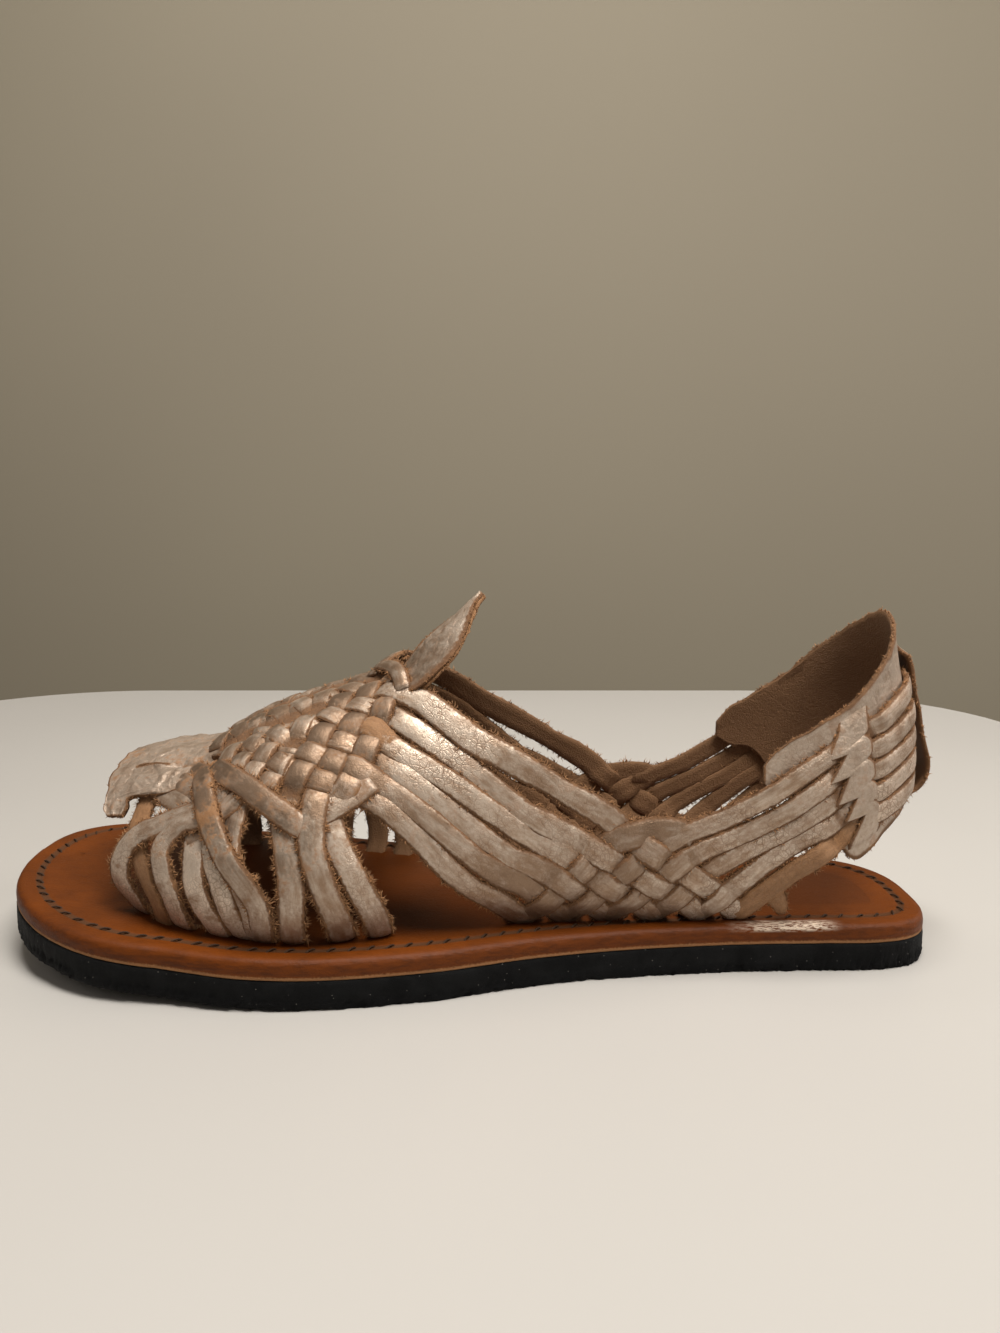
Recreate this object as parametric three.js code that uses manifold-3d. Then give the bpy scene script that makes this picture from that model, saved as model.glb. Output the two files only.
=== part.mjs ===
// Left woven leather sandal on a rubber sole. Millimetres, toe at -X, heel at +X, lateral side at -Y, +Z up.
import * as THREE from 'three';
import { mergeVertices } from 'three/addons/utils/BufferGeometryUtils.js';
import Module from 'manifold-3d';

// Sole sizes
const SOLE_LENGTH = 260;
const OUTSOLE_THICK = 7.7;
const INSOLE_THICK = 5.0;
const LAYER_GAP = 0.3;
const TOE_SPRING = 8.2;
const SPRING_START = 0.42;
const BALL_HALF_WIDTH = 50.2;
const EDGE_ROUND = 1.6;
const INSOLE_INSET = 0.4;
// Leather sizes
const STRIP_WIDTH = 6.3;
const HEEL_STRAP_WIDTH = 5.7;
const STRIP_THICK = 1.9;
const STRAP_STEP = 0.5;
const WALL_THICK = 1.3;
const SHEET_THICK = 1.5;
const CLEARANCE = 0.3;
const SMALLEST = 0.2;
// Foot room sizes
const FOOT_HEIGHT = 118;
const HEEL_AXIS = 0.869;
const HEEL_RADIUS = 28;
const SQUARENESS = 2.3;
const TUCK_HEIGHT = 22;
const ARC_RADIUS = 30;

const TOE_X = -SOLE_LENGTH / 2;
const HEEL_X = TOE_X + SOLE_LENGTH * HEEL_AXIS;
const FLOOR_Z = OUTSOLE_THICK + LAYER_GAP + INSOLE_THICK;

// Half width and centre line of the sole, as shares of the ball half width, at shares of its length.
const SOLE_ROWS = [
  { at: 0.21, half: 0.966, middle: 0.036 },
  { at: 0.288, half: 0.998, middle: 0 },
  { at: 0.367, half: 0.958, middle: -0.032 },
  { at: 0.474, half: 0.827, middle: -0.068 },
  { at: 0.571, half: 0.677, middle: -0.06 },
  { at: 0.66, half: 0.598, middle: -0.04 },
  { at: 0.766, half: 0.566, middle: -0.008 },
  { at: 0.88, half: 0.566, middle: 0.02 },
];
const TOE_MIDDLE = 0.24;
const HEEL_MIDDLE = -0.06;
const TOE_POWER = 2.35;
const HEEL_POWER = 2.7;

// Room of the foot: widths as shares of the ball half width, height and tuck as shares, by share of length.
const FOOT_ROWS = [
  { at: 0.046, lateral: 0.239, medial: 0.438, height: 0.2, tuck: 0.2, middle: 0.12 },
  { at: 0.096, lateral: 0.438, medial: 0.598, height: 0.252, tuck: 0.2, middle: 0.1 },
  { at: 0.165, lateral: 0.588, medial: 0.737, height: 0.303, tuck: 0.2, middle: 0.08 },
  { at: 0.212, lateral: 0.757, medial: 0.837, height: 0.33, tuck: 0.17, middle: 0.06 },
  { at: 0.288, lateral: 0.896, medial: 0.876, height: 0.424, tuck: 0.165, middle: 0.06 },
  { at: 0.346, lateral: 0.936, medial: 0.847, height: 0.475, tuck: 0.165, middle: 0.06 },
  { at: 0.415, lateral: 0.857, medial: 0.777, height: 0.53, tuck: 0.2, middle: 0.06 },
  { at: 0.5, lateral: 0.727, medial: 0.677, height: 0.653, tuck: 0.26, middle: 0.04 },
  { at: 0.577, lateral: 0.637, medial: 0.608, height: 0.788, tuck: 0.28, middle: 0.02 },
  { at: 0.673, lateral: 0.598, medial: 0.568, height: 0.915, tuck: 0.27, middle: 0.02 },
  { at: 0.769, lateral: 0.588, medial: 0.568, height: 0.966, tuck: 0.27, middle: 0.02 },
  { at: 0.869, lateral: 0.598, medial: 0.578, height: 0.966, tuck: 0.3, middle: 0.02 },
];
// Radius at the back of the heel, as shares of HEEL_RADIUS, at heights above the insole.
const BACK_ROWS = [
  { at: 0, radius: 0.82 },
  { at: 8, radius: 0.88 },
  { at: 18, radius: 0.94 },
  { at: 30, radius: 0.99 },
  { at: 42, radius: 1 },
  { at: 52, radius: 0.98 },
  { at: 60, radius: 0.93 },
  { at: 70, radius: 0.85 },
  { at: 82, radius: 0.75 },
  { at: 100, radius: 0.68 },
];

const clamp = (v, lo, hi) => Math.min(hi, Math.max(lo, v));

// Smooth reading of one column of a table at a given place.
function read(rows, at, key) {
  const s = clamp(at, rows[0].at, rows[rows.length - 1].at);
  let k = 0;
  while (k < rows.length - 2 && s > rows[k + 1].at) k += 1;
  const slope = (i) => {
    const a = rows[Math.max(i - 1, 0)];
    const b = rows[Math.min(i + 1, rows.length - 1)];
    return (b[key] - a[key]) / (b.at - a.at);
  };
  const h = rows[k + 1].at - rows[k].at;
  const t = (s - rows[k].at) / h;
  const t2 = t * t;
  const t3 = t2 * t;
  return (2 * t3 - 3 * t2 + 1) * rows[k][key] + (t3 - 2 * t2 + t) * h * slope(k)
    + (3 * t2 - 2 * t3) * rows[k + 1][key] + (t3 - t2) * h * slope(k + 1);
}

// Rise of the sole under the toes.
function lift(x) {
  const start = TOE_X + SPRING_START * SOLE_LENGTH;
  const u = Math.max(0, (start - x) / (start - TOE_X));
  return TOE_SPRING * u * u;
}

// Solid from rings of points: side walls between rings, both end rings closed by a strip across.
function ringSolid(rings) {
  const n = rings[0].length;
  const flat = rings.flat().flatMap((p) => [p.x, p.y, p.z]);
  const faces = [];
  for (let r = 0; r + 1 < rings.length; r += 1) {
    for (let k = 0; k < n; k += 1) {
      const a = r * n + k;
      const b = r * n + (k + 1) % n;
      faces.push(a, b, b + n, a, b + n, a + n);
    }
  }
  const top = (rings.length - 1) * n;
  for (let k = 1; k < n / 2; k += 1) {
    const a = k;
    const b = n - k;
    const c = (k + 1) % n;
    const d = (n - k + 1) % n;
    faces.push(d, b, a);
    if (c !== b) faces.push(a, b, c);
    faces.push(top + a, top + b, top + d);
    if (c !== b) faces.push(top + c, top + b, top + a);
  }
  return meshOf(flat, faces);
}

function meshOf(flat, faces) {
  const g = new THREE.BufferGeometry();
  g.setAttribute('position', new THREE.Float32BufferAttribute(flat, 3));
  g.setIndex(faces);
  return g;
}

// Outline of the sole, one point at the toe, then along the lateral side, the heel and the medial side.
const SOLE_STEPS = 34;
function solePoint(share, side) {
  const first = SOLE_ROWS[0];
  const last = SOLE_ROWS[SOLE_ROWS.length - 1];
  let half = read(SOLE_ROWS, share, 'half');
  let middle = read(SOLE_ROWS, share, 'middle');
  if (share < first.at) {
    const v = 1 - share / first.at;
    half = first.half * (1 - v ** TOE_POWER) ** (1 / TOE_POWER);
    middle = first.middle + (TOE_MIDDLE - first.middle) * v ** 1.6;
  }
  if (share > last.at) {
    const v = (share - last.at) / (1 - last.at);
    half = last.half * Math.max(0, 1 - v ** HEEL_POWER) ** (1 / HEEL_POWER);
    middle = last.middle + (HEEL_MIDDLE - last.middle) * v ** 2;
  }
  const x = TOE_X + share * SOLE_LENGTH;
  return new THREE.Vector2(x, BALL_HALF_WIDTH * (middle + side * half));
}
function soleShare(k) {
  return 0.5 - 0.5 * Math.cos(Math.PI * k / SOLE_STEPS);
}
function soleRing(inset, z) {
  const pts = [];
  for (let k = 0; k <= SOLE_STEPS; k += 1) pts.push(solePoint(soleShare(k), -1));
  for (let k = SOLE_STEPS - 1; k > 0; k -= 1) pts.push(solePoint(soleShare(k), 1));
  const n = pts.length;
  return pts.map((p, k) => {
    const a = pts[(k + n - 1) % n];
    const b = pts[(k + 1) % n];
    const d = new THREE.Vector2(b.x - a.x, b.y - a.y).normalize();
    const x = p.x - d.y * inset;
    return new THREE.Vector3(x, p.y + d.x * inset, z + lift(x));
  });
}
function soleLayer(z0, z1, inset, bottomRound, topRound) {
  return ringSolid([
    soleRing(inset + bottomRound, z0),
    soleRing(inset, z0 + bottomRound),
    soleRing(inset, z1 - topRound),
    soleRing(inset + topRound * 0.35, z1 - topRound * 0.35),
    soleRing(inset + topRound, z1),
  ]);
}

// Point on the room of the foot. u runs along the foot in mm and then around the heel.
// girth is 0 at the lateral edge, 1 on the ridge and 2 at the medial edge.
function footPoint(u, girth) {
  const side = girth <= 1 ? -1 : 1;
  const g = girth <= 1 ? girth : 2 - girth;
  const x = Math.min(u, HEEL_X);
  const share = (x - TOE_X) / SOLE_LENGTH;
  const key = side < 0 ? 'lateral' : 'medial';
  const height = FOOT_HEIGHT * read(FOOT_ROWS, share, 'height');
  const middle = BALL_HALF_WIDTH * read(FOOT_ROWS, share, 'middle');
  const reach = BALL_HALF_WIDTH * read(FOOT_ROWS, share, key) - side * middle;
  const a = Math.max(g, 0) * Math.PI / 2;
  const up = height * Math.sin(a) ** (2 / SQUARENESS);
  const near = 1 - read(FOOT_ROWS, share, 'tuck') * clamp(1 - up / TUCK_HEIGHT, 0, 1) ** 2;
  const half = reach * Math.max(Math.cos(a), 1e-6) ** (2 / SQUARENESS) * near;
  const turn = Math.max(u - HEEL_X, 0) / ARC_RADIUS;
  const blend = Math.sin(Math.min(turn, Math.PI)) ** 2;
  const r = half * (1 - blend) + HEEL_RADIUS * read(BACK_ROWS, up, 'radius') * blend;
  const z = FLOOR_Z + lift(x) + up + Math.min(g, 0) * 100;
  return new THREE.Vector3(x + r * Math.sin(turn), middle + side * r * Math.cos(turn), z);
}
function footNormal(u, girth) {
  const g = clamp(girth, 0.01, 1.99);
  const along = footPoint(u + 0.4, g).sub(footPoint(u - 0.4, g));
  const around = footPoint(u, g + 0.006).sub(footPoint(u, g - 0.006));
  return along.cross(around).normalize();
}
function offFoot(u, girth, off) {
  return footPoint(u, girth).addScaledVector(footNormal(u, girth), off);
}
// Girth share at a height in mm above the insole, on the lateral side.
function girthAt(u, height) {
  const share = (Math.min(u, HEEL_X) - TOE_X) / SOLE_LENGTH;
  const whole = FOOT_HEIGHT * read(FOOT_ROWS, share, 'height');
  if (height <= 0) return height / 100;
  return Math.asin(Math.min(1, (height / whole) ** (SQUARENESS / 2))) * 2 / Math.PI;
}

// Smooth path through rows of numbers, each column by itself.
function along(rows, t) {
  const n = rows.length - 1;
  const k = Math.min(n - 1, Math.floor(t * n));
  const f = t * n - k;
  const p = (i) => rows[clamp(i, 0, n)];
  return rows[0].map((_, c) => {
    const [a, b, d, e] = [p(k - 1)[c], p(k)[c], p(k + 1)[c], p(k + 2)[c]];
    return b + 0.5 * f * (d - a + f * (2 * a - 5 * b + 4 * d - e + f * (3 * (b - d) + e - a)));
  });
}

// Flat leather strip laid on the foot. Rows: u, girth, lift off the foot and width share.
function ribbon(rows, options = {}) {
  const thick = options.thick ?? STRIP_THICK;
  const width = options.width ?? STRIP_WIDTH;
  const steps = options.steps ?? Math.max(4, Math.round((rows.length - 1) * 1.25));
  const full = rows.map((r) => [r[0], r[1], r[2] ?? 0, r[3] ?? 1]);
  const spot = (t) => {
    const [u, g, off] = along(full, t);
    return offFoot(u, g, off);
  };
  const rings = [];
  for (let k = 0; k <= steps; k += 1) {
    const t = k / steps;
    const [u, g, off, wide] = along(full, t);
    const normal = footNormal(u, g);
    const way = spot(Math.min(1, t + 0.01)).sub(spot(Math.max(0, t - 0.01)));
    const across = normal.clone().cross(way).normalize().multiplyScalar(width * wide / 2);
    const low = offFoot(u, g, off);
    const high = low.clone().addScaledVector(normal, thick);
    rings.push([low.clone().sub(across), low.clone().add(across), high.clone().add(across), high.clone().sub(across)]);
  }
  return tube(rings);
}

// Closed solid through rings of equal length, ends filled as fans.
function tube(rings) {
  const n = rings[0].length;
  const flat = rings.flat().flatMap((p) => [p.x, p.y, p.z]);
  const faces = [];
  for (let r = 0; r + 1 < rings.length; r += 1) {
    for (let k = 0; k < n; k += 1) {
      const a = r * n + k;
      const b = r * n + (k + 1) % n;
      faces.push(a, b, b + n, a, b + n, a + n);
    }
  }
  const end = (rings.length - 1) * n;
  for (let k = 1; k + 1 < n; k += 1) {
    faces.push(0, k + 1, k);
    faces.push(end, end + k, end + k + 1);
  }
  return meshOf(flat, faces);
}

// Curved sheet on the foot: spot(a, b) gives u and girth for a, b in 0..1, off(a, b) its inner lift.
function sheet(spot, off, thick, na, nb) {
  const inner = [];
  const outer = [];
  for (let i = 0; i <= na; i += 1) {
    for (let j = 0; j <= nb; j += 1) {
      const [u, g] = spot(i / na, j / nb);
      const low = off(i / na, j / nb);
      inner.push(offFoot(u, g, low));
      outer.push(offFoot(u, g, low + thick));
    }
  }
  const flat = inner.concat(outer).flatMap((p) => [p.x, p.y, p.z]);
  const at = (i, j) => i * (nb + 1) + j;
  const size = inner.length;
  const faces = [];
  for (let i = 0; i < na; i += 1) {
    for (let j = 0; j < nb; j += 1) {
      const [a, b, c, d] = [at(i, j), at(i + 1, j), at(i + 1, j + 1), at(i, j + 1)];
      faces.push(a, c, b, a, d, c, size + a, size + b, size + c, size + a, size + c, size + d);
    }
  }
  const wall = (p, q) => faces.push(p, q, size + q, p, size + q, size + p);
  for (let i = 0; i < na; i += 1) {
    wall(at(i, 0), at(i + 1, 0));
    wall(at(i + 1, nb), at(i, nb));
  }
  for (let j = 0; j < nb; j += 1) {
    wall(at(0, j + 1), at(0, j));
    wall(at(na, j), at(na, j + 1));
  }
  return meshOf(flat, faces);
}

const wasm = await Module();
wasm.setup();
function solid(geometry) {
  const g = geometry.clone();
  g.deleteAttribute('normal');
  g.deleteAttribute('uv');
  const m = mergeVertices(g, 1e-4);
  const made = new wasm.Manifold(new wasm.Mesh({
    numProp: 3,
    vertProperties: new Float32Array(m.attributes.position.array),
    triVerts: new Uint32Array(m.index.array),
  }));
  return made.volume() < 0 ? solid(flipped(m)) : made;
}
function flipped(g) {
  const turned = g.clone();
  const index = Array.from(g.index.array);
  for (let k = 0; k < index.length; k += 3) {
    [index[k + 1], index[k + 2]] = [index[k + 2], index[k + 1]];
  }
  turned.setIndex(index);
  return turned;
}
function joined(list) {
  let out = list[0];
  for (const next of list.slice(1)) out = out.add(next);
  return out;
}
// The largest shell alone, without closed bubbles where strips touch and without very short edges.
function mainShell(made) {
  const largest = (list) => list.reduce((a, b) => (b.volume() > a.volume() ? b : a));
  const shells = largest(made.decompose()).asOriginal().simplify(SMALLEST).decompose();
  return largest(shells);
}
function geometryOf(made) {
  const m = made.getMesh();
  const g = meshOf(Array.from(m.vertProperties), Array.from(m.triVerts));
  const plain = g.toNonIndexed();
  plain.computeVertexNormals();
  return plain;
}

// Mirror rows of a strip to the other side of the foot.
const across = (rows) => rows.map((r) => [r[0], 2 - r[1], ...r.slice(2)]);
const both = (rows, options) => [solid(ribbon(rows, options)), solid(ribbon(across(rows), options))];
// Rows with heights in mm instead of girth shares.
const byHeight = (rows) => rows.map(([u, h, ...rest]) => [u, girthAt(u, h), ...rest]);

// Weave over the instep. Strips with number i come from the lateral side, those with j from the medial side.
const WEAVE_START = -28.5;
const WEAVE_PITCH = 7.2;
const WEAVE_EASE = 0.22;
function weaveSpot(i, j) {
  const m = (i + j - 3) / 2;
  const n = (i + 3 - j) / 2;
  return ridgeSpot(m, n);
}
function ridgeSpot(m, n) {
  const w = Math.abs(n);
  const u = WEAVE_START - WEAVE_PITCH * m + WEAVE_EASE * m * m + (4.2 - 0.65 * m) * w + 0.15 * w * w;
  const drop = w * (0.197 - 0.016 * w + 0.005 * m);
  return [u, n >= 0 ? 1 - drop : 1 + drop];
}
const WEAVE_FRONT = 6.6;
const WEAVE_BACK = -1.3;
const WEAVE_REACH = 4.9;
function weaveWall() {
  const spot = (a, b) => {
    const n = WEAVE_REACH * (1 - 2 * b);
    const w = Math.abs(n);
    const back = Math.max(WEAVE_BACK, w - 2.6);
    const front = Math.min(WEAVE_FRONT, 8.3 - w);
    return ridgeSpot(back + (front - back) * a, n);
  };
  return solid(sheet(spot, () => 0.2, WALL_THICK, 8, 12));
}
// One raised cell: length along the strip on top, width across it, domed in the middle.
function cell(place, long, wide, top) {
  const rings = [-1, 0, 1].map((k) => {
    const rise = k === 0 ? top : 1.2;
    const [a, b] = [place(k * long, -wide), place(k * long, wide)];
    return [offFoot(...a, 0.6), offFoot(...b, 0.6), offFoot(...b, rise), offFoot(...a, rise)];
  });
  return solid(tube(rings));
}
const CELL_LONG = 0.62;
const CELL_WIDE = 0.42;
const CELL_TOP = 2.5;
function weaveCells() {
  const cells = [];
  for (let i = -1; i <= 7; i += 1) {
    for (let j = 1; j <= 10; j += 1) {
      const m = (i + j - 3) / 2;
      const n = (i + 3 - j) / 2;
      const inside = Math.abs(n) <= 4.1 && m >= Math.max(-1, Math.abs(n) - 2.6) && m <= Math.min(5.1, 7.6 - Math.abs(n));
      if (!inside) continue;
      const first = (i + j) % 2 === 0;
      const place = first
        ? (a, b) => weaveSpot(i + b, j + a)
        : (a, b) => weaveSpot(i + a, j + b);
      cells.push(cell(place, CELL_LONG, CELL_WIDE, CELL_TOP));
    }
  }
  return cells;
}

// Side straps from the weave down to the side braid: u, girth, lift.
const SIDE_STRAPS = [
  [[-24, 0.86, 0.4], [-12, 0.65, 0.2], [2, 0.43], [14, 0.31], [26, 0.22], [38, 0.155], [45, 0.12]],
  [[-24, 0.72, 0.4], [-15, 0.58, 0.2], [-4, 0.42], [8, 0.275], [20, 0.185], [32, 0.12], [41, 0.085]],
  [[-27, 0.63, 0.4], [-18, 0.52, 0.2], [-10, 0.41], [4, 0.26], [16, 0.165], [26, 0.11], [34, 0.08]],
  [[-24, 0.52, 0.4], [-14, 0.40, 0.2], [-4, 0.275], [6, 0.175], [16, 0.115], [26, 0.07], [31, 0.05]],
  [[-29, 0.50, 0.4], [-20, 0.405, 0.2], [-10, 0.285], [-2, 0.195], [6, 0.125], [16, 0.075], [21, 0.045]],
  [[-27, 0.39, 0.4], [-20, 0.345, 0.2], [-12, 0.245], [-4, 0.145], [3, 0.09], [10, 0.055], [18, 0.005], [19, -0.03]],
];
// Returning straps from the side braid, up behind the ankle and half way around the heel: u, height, lift.
const OVER_SHEET = SHEET_THICK + CLEARANCE + 0.1;
const HEEL_STRAPS = [
  [[45, 18], [54, 24], [68, 30, 0.3], [80, 36.5, OVER_SHEET], [90, 43.3, OVER_SHEET], [99, 49, OVER_SHEET],
    [108, 54, OVER_SHEET], [122, 60, OVER_SHEET], [145, 62.5, OVER_SHEET]],
  [[54, 16], [62, 21.5], [73, 26, 0.3], [84, 32, OVER_SHEET], [92, 37.7, OVER_SHEET], [100, 43.5, OVER_SHEET],
    [108, 48.3, OVER_SHEET], [122, 53.5, OVER_SHEET], [145, 56, OVER_SHEET]],
  [[57, 8], [66, 17], [76, 22.5], [85, 27.5, 0.6], [94, 33.5, OVER_SHEET], [101, 38.3, OVER_SHEET],
    [109, 43, OVER_SHEET], [122, 47.3, OVER_SHEET], [145, 49.5, OVER_SHEET]],
  [[64, 4], [71, 11], [79, 18], [88, 24.5, 0.6], [96, 29, OVER_SHEET], [103, 34, OVER_SHEET],
    [110, 37.6, OVER_SHEET], [122, 41.3, OVER_SHEET], [145, 43, OVER_SHEET]],
  [[73, 3], [79, 9], [86, 15.5], [94, 21.5, OVER_SHEET], [101, 27, OVER_SHEET], [109, 31.5, OVER_SHEET],
    [122, 35.2, OVER_SHEET], [145, 36.6, OVER_SHEET]],
];
// Fold of leather along the top edge of the side braid.
const BRAID_FOLD = [[34, 22.5, 1.2], [41, 27, 1.6], [50, 28, 1.6], [58, 27, 1.2], [64, 25, 0.4]];
// Places where the side straps turn around at the bottom edge, and the shape of the braid between them.
const TURN_FIRST = 17;
const TURN_PITCH = 11.3;
const TURN_HEIGHT = 3.2;
const BRAID_LOW = 1.6;
const BRAID_TOP = [
  { at: 14, h: 4 },
  { at: 22, h: 11 },
  { at: 30, h: 18 },
  { at: 36, h: 23.5 },
  { at: 42, h: 27 },
  { at: 52, h: 27 },
  { at: 60, h: 24 },
  { at: 68, h: 18 },
  { at: 79, h: 9 },
];
const across2 = (g, side) => (side > 0 ? 2 - g : g);
function braidWall(side) {
  const spot = (a, b) => {
    const u = 14 + 65 * a;
    const h = BRAID_LOW + (read(BRAID_TOP, u, 'h') - BRAID_LOW) * (side > 0 ? 1 - b : b);
    return [u, across2(girthAt(u, h), side)];
  };
  return solid(sheet(spot, () => 0.1, WALL_THICK, 10, 4));
}
// Loops that tie each turning place of the braid down to the insole.
function braidTies() {
  return [0, 1, 2, 3, 4, 5].flatMap((k) => {
    const u = TURN_FIRST + TURN_PITCH * k;
    return both(byHeight([[u, 6], [u, -3]]), { width: 4.6, thick: WALL_THICK, steps: 2 });
  });
}
// Crossing of the strap that turns at number k with the one that turns at number l.
function braidSpot(k, l) {
  const first = TURN_FIRST + TURN_PITCH * l;
  const gap = TURN_PITCH * (k - l);
  return [first + 0.45 * gap, TURN_HEIGHT + 0.43 * gap];
}
function braidCells(side) {
  const cells = [];
  for (let l = 0; l <= 5; l += 1) {
    for (let k = l; k <= 5; k += 1) {
      const down = (k + l) % 2 === 1;
      const place = (a, b) => {
        const [u, h] = down ? braidSpot(k + b, l + a) : braidSpot(k + a, l + b);
        return [u, across2(girthAt(u, h), side)];
      };
      cells.push(cell(place, 0.6, 0.34, 2.4));
    }
  }
  return cells;
}

// Strips over the toes and the ball, lateral side: u, girth, lift.
const END = -0.03;
const TOE_STRIPS = [
  [[-47, 0.52, 0.6], [-54, 0.47, 0.8], [-64, 0.45, 1.4], [-74, 0.44, 1.6], [-82.5, 0.37, 1.6], [-88, 0.26, 1.3],
    [-89, 0.15, 0.9], [-88, 0.05, 0.3], [-85.5, 0.005, 0.1], [-85, END, 0]],
  [[-44, 0.43, 0.6], [-52, 0.41, 0.8], [-62, 0.42, 1.4], [-70, 0.42, 1.5], [-75, 0.34, 1.4], [-75, 0.25, 1],
    [-73, 0.14, 0.6], [-72, 0.05, 0.2], [-71.5, END, 0]],
  [[-65, 0.42], [-66, 0.32, 0.1], [-66, 0.2, 0.4], [-64, 0.1, 0.2], [-62, 0.02], [-61.5, END, 0]],
  [[-63, 0.4, 0], [-61.5, 0.28], [-59, 0.18], [-57, 0.08], [-55, 0.02], [-55, END]],
  [[-72, 0.72, 0], [-68, 0.65, 0.5], [-65, 0.56, 2.6], [-62, 0.43, 3.1], [-59, 0.33, 2.6], [-56, 0.25, 2],
    [-52, 0.185, 1.7], [-49, 0.12, 1.2], [-49, 0.04, 0.6], [-49.5, END, 0.1]],
  [[-54, 0.46, 0.2, 0.9], [-54, 0.37, 0.1, 0.85], [-52, 0.28, 0, 0.8], [-49.5, 0.19, 0, 0.8], [-48.5, 0.1, 0, 0.9],
    [-48, END, 0, 0.9]],
  [[-45, 0.47, 0.3], [-43, 0.37, 0.2], [-42, 0.26], [-41, 0.18], [-41.5, 0.08], [-42, END]],
  [[-33, 0.46, 0.6], [-35.5, 0.41, 1.4], [-36, 0.34, 1.6], [-36, 0.27, 1.4], [-34.5, 0.2, 1], [-32.5, 0.13, 0.6],
    [-30.5, 0.06, 0.3], [-30, END, 0.1]],
  [[-25, 0.4, 0.5], [-32.5, 0.36, 0.2], [-32, 0.29], [-29.5, 0.22], [-26.5, 0.15], [-23.5, 0.08], [-22, 0.02], [-22, END]],
];
// Strips that cross under the toe tab from side to side, and the border strip of the weave.
const TAN_STRIP = [[-77.5, END], [-78, 0.07], [-80.5, 0.17], [-83.5, 0.28], [-85, 0.4], [-84, 0.52], [-82, 0.68],
  [-81, 0.84], [-80.5, 1]];
const HIGH_STRIP = [[-66, 0.34, 0.2], [-68.5, 0.44], [-72, 0.56], [-74.5, 0.7], [-75, 0.85], [-75, 1]];
const BORDER_STRIP = [[-60.5, 0.59, 1.4], [-55, 0.52, 2], [-47, 0.425, 2], [-40, 0.345, 1.8], [-36, 0.3, 0.6]];
const LOW_BORDER = [[-22, 0.42, 0.6], [-26, 0.4, 0.8], [-31, 0.375, 0.6], [-37, 0.345, 0.3], [-42, 0.325, 0.2]];

// The heel piece: a sheet inside the straps with columns that pass over them.
const HEEL_EDGES = [
  { at: 78.5, top: 43.5, low: 39.5 },
  { at: 82, top: 48, low: 37 },
  { at: 90, top: 53, low: 35 },
  { at: 96, top: 57, low: 28 },
  { at: 101, top: 60, low: 20 },
  { at: 106, top: 64.5, low: 20.5 },
  { at: 112, top: 69, low: 25 },
  { at: 122, top: 75, low: 28.5 },
  { at: 132, top: 79, low: 29.5 },
  { at: 143.1, top: 81.5, low: 29 },
];
const BACK_U = HEEL_X + ARC_RADIUS * Math.PI / 2;
function heelSheet(side) {
  const spot = (a, b) => {
    const u = 78.5 + (BACK_U - 78.5) * a;
    const low = read(HEEL_EDGES, u, 'low');
    const h = low + (read(HEEL_EDGES, u, 'top') - low) * (side > 0 ? 1 - b : b);
    return [u, across2(girthAt(u, h), side)];
  };
  return solid(sheet(spot, () => 0, SHEET_THICK, 14, 6));
}
const COLUMN_OFF = OVER_SHEET + STRIP_THICK + CLEARANCE;
const COLUMN_WIDTH = 10.5;
const SIDE_COLUMN = [[101.5, 60, 0.3, 1.1], [101.5, 57, 2.2, 1], [101.5, 54, COLUMN_OFF, 0.95], [101, 45, COLUMN_OFF, 0.85],
  [101.5, 35, COLUMN_OFF, 0.95], [103, 24.5, COLUMN_OFF, 1.1], [103, 22.6, 2.2, 1.1],
  [103, 20.8, 0.1, 1]];
const BACK_COLUMN = [[BACK_U, 70, 0.3, 0.9], [BACK_U, 68, 1.6, 0.95], [BACK_U, 66.5, COLUMN_OFF, 1], [BACK_U, 55, COLUMN_OFF, 1],
  [BACK_U, 43, COLUMN_OFF, 1], [BACK_U, 33, COLUMN_OFF, 0.9], [BACK_U, 31.2, 1.8, 0.8], [BACK_U, 29.8, 0.1, 0.7]];

// The tongue: a pointed flap rising from the back of the weave.
const TONGUE = [[-17, 0.79, 2.9, 0.8], [-11, 0.77, 2.8, 1.05], [-5, 0.78, 2.8, 1], [0, 0.83, 3, 0.72], [4, 0.89, 3.2, 0.4],
  [7.5, 0.95, 3.4, 0.08]];
const TONGUE_WIDTH = 17;
const TONGUE_THICK = 2.2;

// The toe tab: a wide band over the toes with a slit near each side.
const TAB_FRONT = -98;
const TAB_EDGE = [
  { at: 0.43, back: -89.5 },
  { at: 0.52, back: -85 },
  { at: 0.6, back: -74 },
  { at: 0.68, back: -67 },
  { at: 0.8, back: -66 },
  { at: 1, back: -66 },
];
const TAB_OFF = STRIP_THICK + CLEARANCE + 0.1;
function toeTab() {
  const spot = (a, b) => {
    const g = 0.43 + 1.14 * b;
    const inner = Math.min(g, 2 - g);
    const round = 3.5 * clamp(1 - (inner - 0.43) / 0.08, 0, 1) ** 2;
    const front = TAB_FRONT + round;
    return [front + (read(TAB_EDGE, inner, 'back') - front) * a, g];
  };
  const plate = solid(sheet(spot, () => TAB_OFF, SHEET_THICK, 5, 20));
  const slit = [[-89, 0.735, 0], [-78, 0.745, 0]];
  const cut = { width: 1.8, thick: 8, steps: 2 };
  const cuts = [solid(ribbon(slit, cut)), solid(ribbon(across(slit), cut)), ...roomFor([BORDER_STRIP, TOE_STRIPS[4]])];
  return mainShell(plate.subtract(joined(cuts)));
}

// Everything the upper must keep clear of lies below this layer.
function floorBlock() {
  return solid(ringSolid([soleRing(-6, -4), soleRing(-6, FLOOR_Z + CLEARANCE)]));
}

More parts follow.
